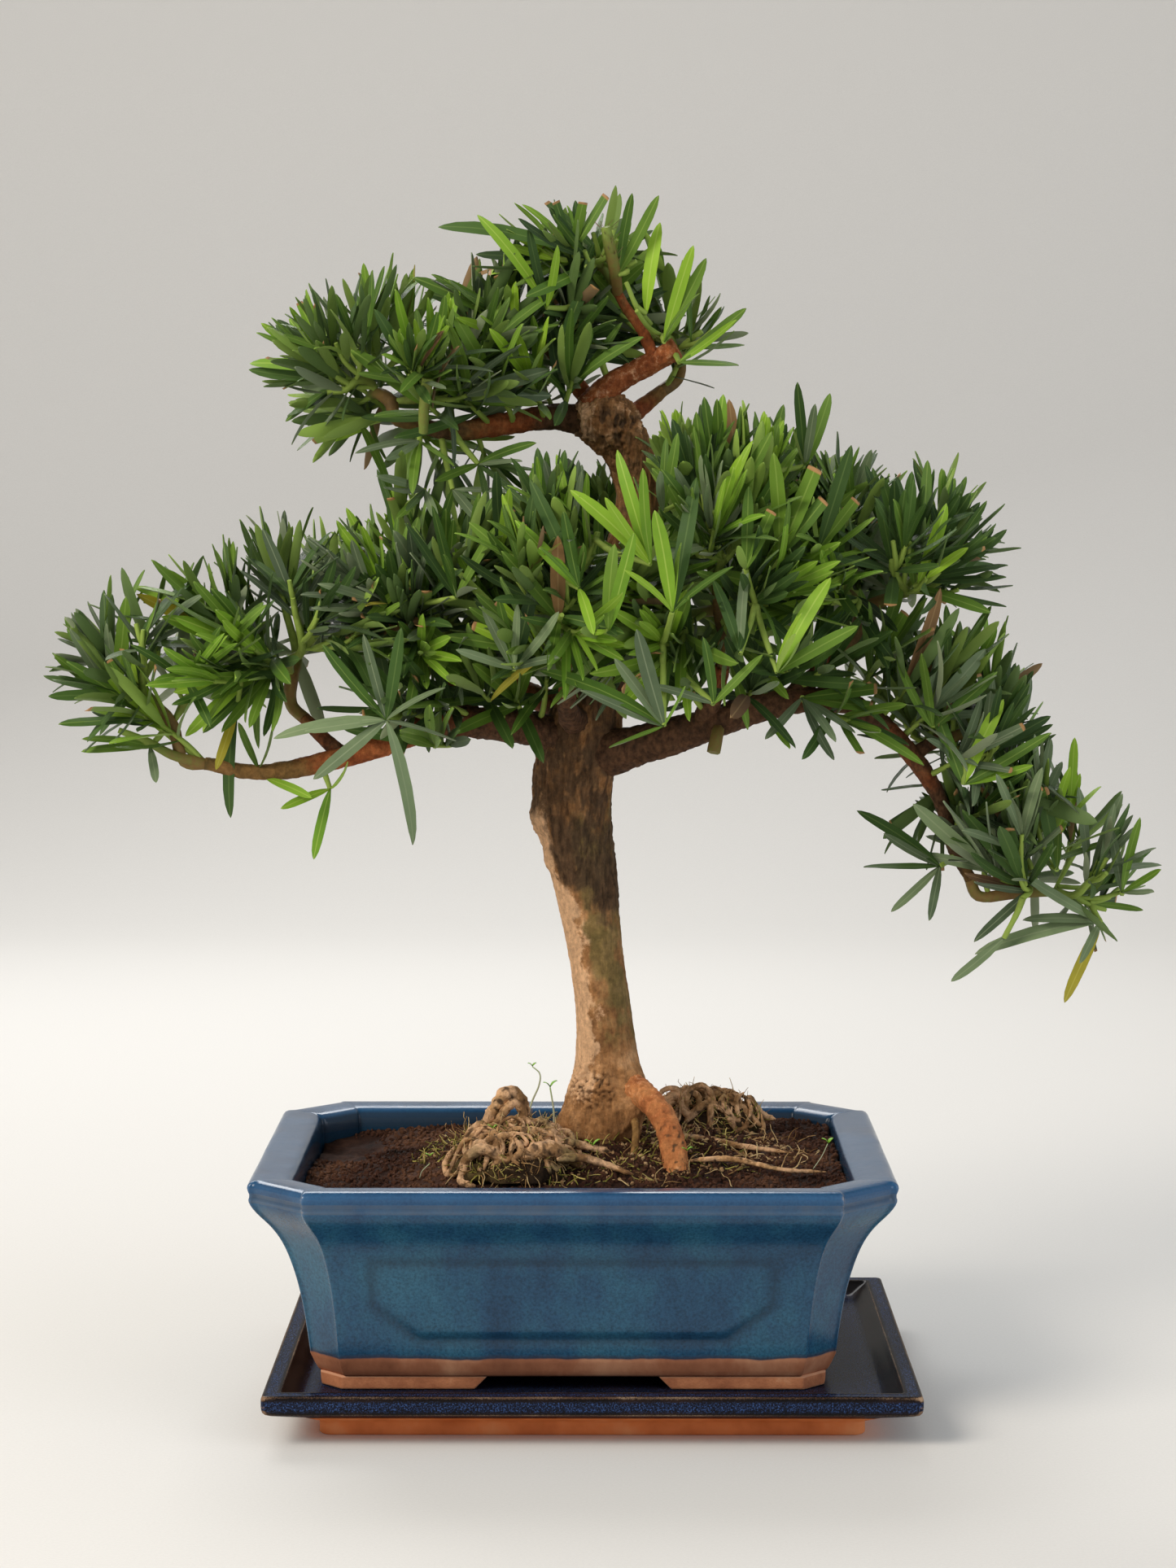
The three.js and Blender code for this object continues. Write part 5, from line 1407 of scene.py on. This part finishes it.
def growMass(index, name, mass):
    centre, half = mass.centre, mass.half
    random = seeded(index + 1)
    path = limbs[mass.limb]
    heading = limbTangent(path, 1)
    end = limbPoint(path, 1)
    stemRadius = min(end[3] * 0.9, 2.6)
    foot = end[:3] + heading * 0.3
    stem = [np.append(foot - heading * 1.5, stemRadius), np.append(foot + heading * 8, stemRadius)]
    ends = [(tip, way) for tip, way in shootEnds(centre, half, mass.shoots, random)
            if belongsTo(index, tip) and clearOfLimbs(tip, 3)]
    twigs = []
    branch(stem, ends, twigs)
    kept = [(twig, way) for twig, way in twigs if twigFits(index, twig, twig[0] is stem[0])]
    for twig, way in kept:
        tip = twig[-1][:3] + way * growth["leafyLength"]
        twigPaths.append(twig + [np.append(tip, growth["twigRadius"] * 0.8)])
        dressShoot(twig[-1][:3] - way * 4, way, growth["leafyLength"] + 6, name, random)
        growSideShoots(twig, way, (centre, half), name, random)


# Finer shoots leave each twig in a spiral and turn up, more so near the top of the mass.
def growSideShoots(twig, way, space, name, random):
    turn = random() * fullTurn
    spots = [twig[-1]]
    for before, after in zip(twig[:-1], twig[1:]):
        run = np.linalg.norm(after[:3] - before[:3])
        steps = max(1, round(run / 6))
        spots += [before + (after - before) * (j + 0.5) / steps for j in range(steps)]
    made = 0
    for k in sorted(range(len(spots)), key=lambda k: random()):
        if made >= masses[name].sideShoots:
            break
        turn += goldenAngle
        tip = growShoot(spots[k][:3], way, turn, space, name, random)
        if tip is not None:
            made += 1
            if random() < growth["finerShoots"]:
                growShoot(tip[0], tip[1], turn + 2, space, name, random)


def growShoot(spot, way, turn, space, name, random):
    outward = unit((spot - np.array(space[0], float)) / np.array(space[1], float))
    angle = math.radians(np.interp(random(), [0, 1], growth["sideAngle"]))
    lift = growth["upward"] * np.interp(outward[2], [-1, 0, 1], [0.15, 0.85, 1.1])
    side = unit(lean(way, turn, angle) * 0.6 + outward * (0.6, 0.6, 0.3) + (0, 0, lift))
    length = np.interp(random(), [0, 1], growth["sideLength"])
    for attempt in range(4):
        tip = spot + side * length
        middle = (spot + tip) / 2
        if depths(tip + side * 20).min() < 1.06 and clearOfLimbs(tip, 2.5) and clearOfLimbs(middle, 1.5):
            bend = middle + np.array([outward[0], outward[1], -1]) * length * 0.07
            twigPaths.append([np.append(spot, 0.95), np.append(bend, 0.85), np.append(tip, 0.7)])
            leafy = min(length * 0.75, 15)
            dressShoot(tip - side * leafy, side, leafy, name, random)
            return middle, side
        length *= 0.75
    return None


for massIndex, (massName, mass) in enumerate(masses.items()):
    growMass(massIndex, massName, mass)


# Leaves that stand out of the crown or hang below it: the foot they share, the kind of each (b bright,
# m mid, d dark, k dusty grey-green and partly painted sheen, y yellow, x mid and cut across) and the x and z
# of each tip.
loneSprays = [
    ((-131, -31, 253), "mm", (-140, 274, -118, 269)),
    ((-103, -31, 245), "bbb", (-122, 240, -88, 256, -110, 218)), ((-128, -31, 249), "b", (-108, 245)),
    ((-139, -33, 277), "yd", (-147, 253, -148, 235)),
    ((-79, -60, 274), "kkkkkmkkd", (-122, 275, -110, 271, -107, 252, -63, 228, -87, 306, -106, 301, -60, 290,
                                    -52, 268, -72, 309)),
    ((-173, -36, 262), "kmm", (-166, 246, -199, 262, -196, 270)),
    ((-186, -36, 280), "kdkmm", (-203, 309, -192, 322, -188, 310, -180, 321, -210, 298)),
    ((82, -32, 281), "xxkkkk", (111, 284, 109, 277, 103, 268, 91, 255, 96, 266, 66, 263)),
    ((68, -24, 275), "b", (77, 258)),
    ((138, -16, 213), "ddkkk", (107, 212, 109, 238, 113, 225, 119, 194, 132, 192)),
    ((164, -14, 184), "k", (143, 165)),
    ((203, -10, 190), "ykkkk", (188, 158, 170, 207, 173, 195, 153, 186, 191, 176)),
    ((211, -12, 202), "kmkm", (222, 204, 226, 214, 206, 228, 214, 234)), ((190, -12, 238), "b", (191, 264)),
    ((184, -20, 212), "xd", (184, 228, 176, 252)), ((133, -34, 269), "mmm", (129, 300, 113, 296, 158, 291)),
    ((145, -34, 247), "bmbm", (157, 281, 180, 266, 172, 254, 134, 276)),
    ((-8, -14, 455), "dbxxxm", (-57, 474, -23, 476, -15, 474, -4, 474, 6, 476, -19, 462)),
    ((-18, -20, 433), "bdb", (-39, 472, -27, 463, -12, 456)), ((10, -14, 446), "mm", (13, 478, 27, 476)),
    ((21, -14, 431), "b", (23, 466)), ((28, -14, 420), "bmm", (38, 458, 45, 452, 35, 441)),
    ((34, -12, 412), "bmm", (58, 427, 58, 411, 61, 432)), ((48, -48, 362), "b", (48, 398)),
    ((82, -42, 371), "dkmm", (79, 404, 86, 396, 73, 386, 92, 398)),
    ((27, -62, 354), "mkm", (27, 381, 22, 374, 33, 383)), ((46, -62, 356), "dm", (41, 379, 53, 373)),
    ((22, -78, 334), "bbbb", (9, 376, 3, 359, 15, 370, -5, 364)),
    ((30, -80, 316), "bbbdm", (26, 356, 32, 342, 17, 335, 39, 366, 49, 336)),
    ((6, -82, 309), "bm", (16, 346, 6, 341)),
    ((-5, -80, 325), "bbmdb", (-18, 343, -28, 351, -12, 355, -22, 366, 1, 311)),
    ((-35, -58, 340), "db", (-38, 370, -31, 361)), ((58, -72, 332), "mxb", (59, 363, 68, 354, 54, 341)),
    ((71, -66, 337), "mxxm", (72, 377, 88, 358, 85, 370, 76, 358)),
    ((87, -54, 340), "dxm", (99, 379, 101, 358, 80, 349)),
    ((70, -74, 293), "bbmbb", (86, 330, 73, 316, 99, 312, 70, 310, 82, 305)),
    ((56, -74, 300), "kd", (56, 334, 48, 328)),
    ((27, -78, 273), "kkmkmb", (15, 311, 9, 299, -14, 302, -5, 286, 5, 264, 38, 290)),
    ((46, -72, 281), "mmk", (44, 306, 64, 300, 22, 290)),
    ((-30, -70, 294), "kmkkkkd", (-42, 319, -35, 321, -27, 320, -52, 303, -13, 302, -9, 314, -22, 326)),
    ((-52, -60, 321), "mmmkd", (-54, 340, -62, 356, -38, 348, -41, 331, -72, 349)),
    ((-66, -20, 362), "kmdkmk", (-85, 358, -77, 347, -73, 351, -59, 347, -53, 343, -84, 369)),
    ((-55, -20, 362), "mkkmd", (-36, 341, -27, 362, -44, 351, -60, 344, -34, 354)),
    ((-45, -16, 372), "mkdddm", (-24, 383, -26, 374, -20, 370, -28, 360, -38, 352, -62, 366)),
    ((-68, -16, 381), "kmmk", (-84, 370, -72, 362, -52, 371, -92, 381)),
]
sprayKinds = {"b": bright, "m": mid, "d": dark, "k": dusty, "y": yellow, "x": mid}
shortestLeaf = 26
firstCut = 0.78      # how much of a leaf the first of the cut shapes leaves


# Leafy shoots that close the crown round its boughs: whose leaves they carry, their foot and their tip.
fillShoots = [
    ("foliage_upper_left", (-20, 0, 393), (-24, -14, 404)),
    ("foliage_upper_left", (-32, -2, 391), (-38, -16, 402)), ("shadeGreen", (-42, -2, 389), (-50, -18, 397)),
    ("foliage_upper_left", (-56, -8, 387), (-66, -22, 396)), ("shade", (-16, 14, 394), (-20, 26, 404)),
    ("shade", (-12, 2, 393), (-8, -10, 405)), ("shade", (-46, 2, 384), (-42, 8, 372)),
    ("shadeGreen", (-60, -4, 383), (-58, 6, 371)), ("foliage_left_tip", (-158, -34, 262), (-168, -40, 271)),
    ("foliage_left_tip", (-168, -34, 268), (-177, -42, 277)),
    ("foliage_left_tip", (-172, -32, 272), (-182, -34, 281)),
    ("foliage_left_inner", (-36, -10, 272), (-44, -34, 284)), ("shade", (-50, -12, 273), (-60, -36, 280)),
    ("shadeGreen", (-28, -6, 272), (-30, -30, 280)),
    ("foliage_left_inner", (-66, -18, 272), (-74, -40, 276)),
    ("shadeGreen", (-20, -4, 274), (-18, -24, 288)), ("shade", (-76, -20, 270), (-84, -34, 282)),
    ("shadeGreen", (-54, -14, 262), (-62, -34, 262)), ("shade", (-36, 14, 276), (-46, 26, 290)),
    ("shadeGreen", (44, -18, 275), (36, -40, 286)), ("shade", (58, -20, 279), (62, -44, 284)),
    ("foliage_right_centre", (68, -22, 283), (76, -44, 292)), ("shade", (82, -20, 284), (92, -36, 294)),
    ("shade", (90, -20, 276), (100, -36, 272)), ("shade", (104, -22, 281), (112, -30, 296)),
    ("shade", (114, -22, 273), (124, -32, 286)), ("shade", (110, -14, 276), (120, -4, 292)),
    ("shade", (122, -20, 265), (134, -30, 276)), ("shadeGreen", (130, -14, 260), (146, -10, 280)),
    ("shade", (118, -10, 270), (130, 6, 284)), ("shadeGreen", (134, -20, 250), (146, -34, 258)),
    ("shade", (100, -12, 286), (106, 4, 300)), ("shade", (126, -16, 268), (142, -22, 292)),
    ("shade", (138, -10, 262), (158, -4, 276)), ("shadeGreen", (142, -10, 228), (156, -26, 236)),
]


def growFillShoots():
    random = seeded(91)
    for name, foot, tip in fillShoots:
        foot, tip = np.array(foot, float), np.array(tip, float)
        start = beadPlaces[np.argmin(np.linalg.norm(beadPlaces - foot, axis=1))]
        heading = unit(tip - foot)
        leafy = min(np.linalg.norm(tip - foot) * 0.8, 15)
        twigPaths.append([np.append(start, 1.1), np.append(foot, 1), np.append(tip, 0.7)])
        dressShoot(tip - heading * leafy, heading, leafy, name, random, 1.35)


# Each lone spray stands on a thin stem of its own, which leaves the nearest twig or limb.
def growLoneSprays():
    random = seeded(77)
    wood = np.vstack([np.array(path)[:, :3] for path in twigPaths] + [beadPlaces])
    for foot, kinds, tips in loneSprays:
        foot = np.array(foot, float)
        start = wood[np.argmin(np.linalg.norm(wood - foot, axis=1))]
        bend = (start * 2 + foot) / 3 + (0, 0, -0.06 * np.linalg.norm(foot - start))
        twigPaths.append([np.append(start, 1.15), np.append(bend, 1.05), np.append(foot, 0.8)])
        for letter, tipX, tipZ in zip(kinds, tips[::2], tips[1::2]):
            way = np.array([tipX, foot[1] - 5, tipZ], float) - foot
            size = np.linalg.norm(way)
            if letter == "x":
                size /= firstCut
            elif size < shortestLeaf:
                way[1] -= math.sqrt(shortestLeaf ** 2 - size ** 2)
                size = shortestLeaf
            along = unit(way)
            face = unit(np.array([0.8 * (random() - 0.5), -0.75, 0.45 + 0.4 * random()]))
            face = unit(face - along * face.dot(along))
            shape = wholeShapes if letter == "x" else 6 if size > 42 else int(random() * 9)
            leafRows.append(leafRow(sprayKinds[letter], foot.copy(), along, face, size, random(), shape))


growFillShoots()
growLoneSprays()
# the top twig goes on through the leaves, rusty with bud scales at its end
topTwig = [(9.5, -4, 440, 2.2), (8.5, -14, 448, 2.2), (6.5, -20, 457, 2.1), (5, -22, 464, 1.8)]
twigPaths.append([np.array(spot, float) for spot in topTwig])
scaleRandom = seeded(58)
for k in range(34):
    spot = limbPoint(topTwig, 0.15 + 0.85 * scaleRandom())
    angle = k * goldenAngle
    along = unit(np.array([math.cos(angle), math.sin(angle), 0.5 + scaleRandom()]))
    face = unit(np.cross(along, (0, 1, 0.2)))
    leafRows.append(leafRow(dry, spot[:3] + along * 0.8, along, face, 3.2 + 3.4 * scaleRandom(), 0.3, 3))
# the thin green end of the left bough, and bare ends of twigs that were cut back
for stub in ([(-152, -32, 255, 2.2), (-164, -35, 258.5, 2), (-174, -36, 264, 1.6), (-185, -37, 268.5, 1.1)],
             [(-66, -28, 384, 1.6), (-65.5, -31, 394, 1.9), (-64, -33, 405, 2.1)],
             [(50, -16, 270, 2), (49, -24, 266, 2.4), (47.5, -27, 259, 2.5)],
             [(6, 2, 406, 1.2), (4, -2, 411, 1.3), (3.5, -4, 415, 1)]):
    twigPaths.append([np.array(spot, float) for spot in stub])
print("crown:", len(twigPaths), "twigs", len(leafRows), "leaves")


# Runs a round bark tube along every twig, thicker at the scars that old leaves have left.
def buildTwigTree():
    tree, add, given, result = newTree("twigTubes", {
        "Sides": "Int", "Scar Height": "Float", "Scar Spacing": "Float", "Material": "Material"})
    curve = add("GeometryNodeMeshToCurve", links={0: given["Geometry"]})
    radius = add("GeometryNodeInputNamedAttribute", {"data_type": "FLOAT"}, {"Name": "twigRadius"})
    place = add("GeometryNodeInputPosition")
    size = add("ShaderNodeMath", {"operation": "DIVIDE"}, {0: 1.0}, {1: given["Scar Spacing"]})
    scars = add("ShaderNodeTexNoise", {"noise_dimensions": "3D"}, {"Detail": 1},
                {"Vector": place, "Scale": size})
    height = add("ShaderNodeMath", {"operation": "MULTIPLY"}, links={0: scars, 1: given["Scar Height"]})
    swollen = add("ShaderNodeMath", {"operation": "ADD"}, links={0: radius, 1: height})
    profile = add("GeometryNodeCurvePrimitiveCircle", {"mode": "RADIUS"}, {"Radius": 1.0},
                  {"Resolution": given["Sides"]})
    tube = add("GeometryNodeCurveToMesh", None, {"Fill Caps": True},
               {"Curve": curve, "Profile Curve": profile, "Scale": swollen})
    soft = add("GeometryNodeSetShadeSmooth", links={0: tube})
    return endTree(tree, soft, given, result)


twigLook = {"sides": 6, "scarHeight": 0.45, "scarSpacing": 2.4, "spacing": 2.2}


def smoothPath(path, spacing):
    count = max(2, math.ceil(limbLength(path) / spacing))
    return [limbPoint(path, k / count) for k in range(count + 1)]


def makeTwigs():
    points, edges, radii, tones = [], [], [], []
    for path in twigPaths:
        fine = smoothPath(path, twigLook["spacing"])
        start = len(points)
        points += [p[:3] for p in fine]
        radii += [p[3] * mm for p in fine]
        tones += [np.clip(1.25 - p[3] * 0.42 + 0.25 * k / len(fine), 0, 1) for k, p in enumerate(fine)]
        edges += [(start + k, start + k + 1) for k in range(len(fine) - 1)]
    twigs = makePiece("twigs", points, [], None, {"twigRadius": radii, "tone": tones}, edges)
    runTree(twigs, buildTwigTree(), {
        "Sides": twigLook["sides"], "Scar Height": twigLook["scarHeight"] * mm,
        "Scar Spacing": twigLook["scarSpacing"] * mm, "Material": twigBark})
    handOver(twigs, "foliage", *masses)


makeTwigs()


# One leaf lies along Y with its face up, 1 long, and is bent, folded and twisted. Across it there are
# a left edge, the top of the rib, a right edge and the keel below; the edges stay crisp.
def makeLeafShape(name, width, bend, fold, twist, cutAt, material):
    outlineAt = [0, 0.05, 0.16, 0.34, 0.56, 0.76, 0.89, 0.965, 1]
    outline = [0.2, 0.34, 0.68, 0.95, 1, 0.93, 0.7, 0.36, 0.05]
    stations = outlineAt if cutAt == 1 else [0, 0.05, 0.16, 0.34, 0.52, cutAt * 0.94, cutAt * 0.97, cutAt]
    rings, plan, scars = [], [], []
    for s, half in zip(stations, np.interp(stations, outlineAt, outline)):
        w = width / 2 * half
        turn, drop = twist * s, bend * s * s
        for x, z in ((-w, fold * w), (0, 0.008 * (0.4 + half)), (w, fold * w), (0, -0.012)):
            rings.append((x * math.cos(turn) - z * math.sin(turn), s * (1 - 0.18 * bend * bend * s),
                          x * math.sin(turn) + z * math.cos(turn) + drop))
            plan.append((abs(x) / (width / 2), s))
        scars += [1.0 if cutAt < 1 and s > cutAt * 0.96 else 0.0] * 4
    faces = [(k + j, k + 4 + j, k + 4 + (j + 1) % 4, k + (j + 1) % 4)
             for k in range(0, 4 * (len(stations) - 1), 4) for j in range(4)]
    faces += [(0, 1, 2, 3), tuple(range(4 * len(stations) - 1, 4 * len(stations) - 5, -1))]
    mesh = bpy.data.meshes.new(name)
    mesh.from_pydata(rings, [], faces)
    mesh.materials.append(material)
    storeValues(mesh, "scar", scars)
    below = [float(j > 1) for k in range(len(stations) - 1) for j in range(4)] + [0, 0]
    storeValues(mesh, "below", below, "FLOAT", "FACE")
    crisp = [edge.vertices[0] % 4 in (0, 2) and (edge.vertices[0] - edge.vertices[1]) % 4 == 0
             for edge in mesh.edges]
    storeValues(mesh, "sharp_edge", crisp, "BOOLEAN", "EDGE")
    layer = mesh.uv_layers.new(name="leafPlan")
    for loop in mesh.loops:
        layer.data[loop.index].uv = plan[loop.vertex_index]
    mesh.polygons.foreach_set("use_smooth", [True] * len(mesh.polygons))
    mesh.update()
    return addObject(name, mesh)


# Puts a picked leaf shape on every point, turned and sized by the point's own values.
def buildLeafTree():
    tree, add, given, result = newTree("leafSprays", {
        "Shapes": "Collection", "Size": "Float", "Material": "Material"})
    read = {}
    for label, kind in (("turned", "FLOAT_VECTOR"), ("leafSize", "FLOAT"), ("leafShape", "INT")):
        read[label] = add("GeometryNodeInputNamedAttribute", {"data_type": kind}, {"Name": label})
    shapes = add("GeometryNodeCollectionInfo", None, {"Separate Children": True, "Reset Children": True},
                 {"Collection": given["Shapes"]})
    turn = add("FunctionNodeEulerToRotation", links={0: read["turned"]})
    size = add("ShaderNodeMath", {"operation": "MULTIPLY"}, links={0: read["leafSize"], 1: given["Size"]})
    put = add("GeometryNodeInstanceOnPoints", None, {"Pick Instance": True},
              {"Points": given["Geometry"], "Instance": shapes, "Rotation": turn, "Scale": size,
               "Instance Index": read["leafShape"]})
    return endTree(tree, put, given, result)


# Bright leaves are dealt out more where the crown is lit, so they are partly painted light; dusty ones are
# grey-green, partly waxy bloom and partly painted sheen on the lit left.
leafMaterials = {
    "bright": makeLeafMaterial("leafBright", "#628f1e", "#96be2e", "#c3d968", "#8fae4a", 0.36),
    "mid": makeLeafMaterial("leafMid", "#3e6117", "#698c24", "#9cb553", "#76903f", 0.38),
    "dark": makeLeafMaterial("leafDark", "#294514", "#44651f", "#718b45", "#5b743b", 0.36),
    "dusty": makeLeafMaterial("leafDusty", "#46583b", "#809468", "#a2ad87", "#85926f", 0.42),
    "yellow": makeLeafMaterial("leafYellow", "#7f7c1c", "#b5a82a", "#c3b95a", "#8f8a3a", 0.4),
    "dry": makeLeafMaterial("leafDry", "#6a4c2e", "#9a7748", "#b59867", "#8f7450", 0.7),
}
leavesInPiece = 2600      # keeps each piece under 200,000 triangles


def makeLeaves():
    shapes = []
    # width, bend, fold and twist of each shape, and where it was cut across
    look = [(0.14, 0.1, 0.2, 0.1, 1), (0.155, -0.12, 0.15, -0.2, 1), (0.125, 0.16, 0.3, 0.3, 1),
            (0.145, -0.04, 0.12, 0.4, 1), (0.165, -0.2, 0.2, -0.1, 1), (0.135, 0.06, 0.25, -0.45, 1),
            (0.12, -0.28, 0.3, 0.25, 1), (0.15, 0.22, 0.15, -0.15, 1), (0.135, -0.08, 0.2, 0.7, 1),
            (0.13, 0.3, 0.25, 0.1, 1), (0.16, 0.04, 0.15, 0.1, firstCut), (0.145, -0.1, 0.25, -0.3, 0.9)]
    for k, (width, bend, fold, twist, cutAt) in enumerate(look):
        shapes.append(makeLeafShape(f"leafShape{k}", width, bend, fold, twist, cutAt, leafMaterials["mid"]))
    store = hiddenSet("leafShapes", shapes)
    tree = buildLeafTree()
    for kindIndex, kind in enumerate(leafKinds):
        rows = [row for row in leafRows if row.kind == kindIndex]
        for part in range(0, len(rows), leavesInPiece):
            group = rows[part:part + leavesInPiece]
            name = kind + "Leaves" + (str(part // leavesInPiece + 1) if len(rows) > leavesInPiece else "")
            turns = []
            for row in group:
                side = unit(np.cross(row.along, row.face))
                axes = np.column_stack([side, row.along, np.cross(side, row.along)])
                turns += list(Matrix(axes.tolist()).to_euler())
            leaves = makePiece(name, [row.root for row in group], [], None, {
                "leafSize": [row.size for row in group], "tone": [row.tone for row in group]})
            storeValues(leaves.data, "turned", turns, "FLOAT_VECTOR")
            storeValues(leaves.data, "leafShape", [row.shape for row in group], "INT")
            runTree(leaves, tree, {"Shapes": store, "Size": mm, "Material": leafMaterials[kind]})
            handOver(leaves, "foliage", *masses)
    clearSet(store)


makeLeaves()


# Seedlings that have come up in the pot: thin pale stems with a pair of seed leaves.
seedlings = [
    [[-25, 8, 100, 0.45], [-25.5, 9, 111, 0.4], [-22, 10, 120, 0.35], [-21.6, 10, 125, 0.3],
     [-24.6, 10, 128, 0.25]],
    [[-16, 4, 100, 0.45], [-15.8, 4, 110, 0.4], [-17.3, 4, 120.5, 0.3]],
    [[-41, -30, 98, 0.35], [-39, -30, 103, 0.3], [-39.5, -31, 110, 0.25]],
    [[88, -21, 92, 0.2], [91.5, -20, 97, 0.18], [93.8, -20, 102, 0.16]],
    [[-68, -40, 92, 0.2], [-67, -41, 95, 0.18], [-64, -41, 98, 0.16]],
]
seedLeaves = [((-24.6, 10, 128.2), 2.2), ((-17.3, 4, 120.7), 3.4), ((-39.6, -31, 110), 2.2),
              ((94, -20, 102.3), 2.8), ((-38.5, -31, 103), 3.6), ((0, -27, 102.5), 3.4),
              ((37, -40, 103), 2.6), ((-64, -41, 101), 1.8)]


seedlingLook = {"sides": 8, "spacing": 0.8, "seed": 31}


def makeSeedlings():
    random, sides = seeded(seedlingLook["seed"]), seedlingLook["sides"]
    skins, tones = [], []
    for path in seedlings:
        rings, shares = limbRings(path, sides, seedlingLook["spacing"],
                                  lambda turn, t, centre, outward: np.full(sides, centre[3]))
        skins.append(skin(rings))
        tones += [0.15 + 0.35 * share ** 3 for share in shares] + [0.2, 0.5]
    for spot, size in seedLeaves:
        for side in (0, math.pi):
            turn = side + random() * 0.7
            along = np.array([math.cos(turn), math.sin(turn) * 0.6, 0.35 + 0.3 * random()])
            across = unit(np.cross(along, (0, 0, 1)))
            up = np.cross(across, along)
            rings = []
            for s, half in ((0, 0.12), (0.2, 0.34), (0.5, 0.46), (0.8, 0.36), (1, 0.08)):
                middle = np.array(spot) + along * size * s + up * 0.25 * size * math.sin(s * 2.5)
                rings.append([middle + across * size * half * math.cos(a) + up * 0.18 * math.sin(a)
                              for a in np.linspace(0, 2 * math.pi, sides, endpoint=False)])
            skins.append(skin(rings))
            tones += [0.85] * len(skins[-1][0])
    handOver(makePiece("seedlings", *joined(skins), sproutMaterial, {"tone": tones}), "foliage")


makeSeedlings()


# A pale seamless sweep under and behind the plant, lit softly from the upper left.
stageLook = {"floor": "#e8e6e2", "key": 31, "fill": 10.5, "rim": 14, "air": 0.5}


def makeStage():
    shader = {"Roughness": 0.9, "Specular IOR Level": 0.1}
    material, add, surface, place = newMaterial("paperSweep", shader)
    grain = add("ShaderNodeTexNoise", values={"Scale": 900, "Detail": 3}, links={0: place})
    tone = add("ShaderNodeValToRGB", links={0: grain})
    rampStops(tone, [(0.3, "#e4e2de"), (0.7, stageLook["floor"])])
    connect(material.node_tree, tone, surface.inputs["Base Color"])
    profile = [(-3, 0), (1.4, 0)]
    profile += [(1.4 + 0.8 * math.sin(a), 0.8 - 0.8 * math.cos(a)) for a in np.linspace(0.1, math.pi / 2, 14)]
    profile += [(2.2, 4)]
    points = [(x * 1000, y * 1000, z * 1000 - 0.05) for y, z in profile for x in (-5, 5)]
    faces = [(2 * k, 2 * k + 1, 2 * k + 3, 2 * k + 2) for k in range(len(profile) - 1)]
    sweep = makePiece("paperSweep", points, faces, material)


def addLight(name, place, aim, size, power, colour):
    light = bpy.data.lights.new(name, "AREA")
    light.shape, light.size, light.size_y = "RECTANGLE", size[0], size[1]
    light.energy, light.color = power, linearColour(colour)[:3]
    lamp = addObject(name, light)
    lamp.location = place
    lamp.rotation_euler = (Vector(aim) - Vector(place)).to_track_quat("-Z", "Y").to_euler()


makeStage()
addLight("keyLight", (-1.3, -1.1, 1.35), (0, 0, 0.27), (0.9, 0.9), stageLook["key"], "#fff6ea")
addLight("fillLight", (1.6, -1.0, 0.7), (0, 0, 0.25), (1.4, 1.2), stageLook["fill"], "#eef4ff")
addLight("rimLight", (-0.4, 1.3, 1.2), (0, 0, 0.35), (1.2, 0.7), stageLook["rim"], "#ffffff")
world = bpy.data.worlds.new("softAir")
bpy.context.scene.world = world
world.use_nodes = True
air = world.node_tree.nodes["Background"].inputs
air["Color"].default_value, air["Strength"].default_value = linearColour("#e6e8ea"), stageLook["air"]
view = bpy.context.scene.view_settings
view.view_transform, view.look = "Standard", "None"
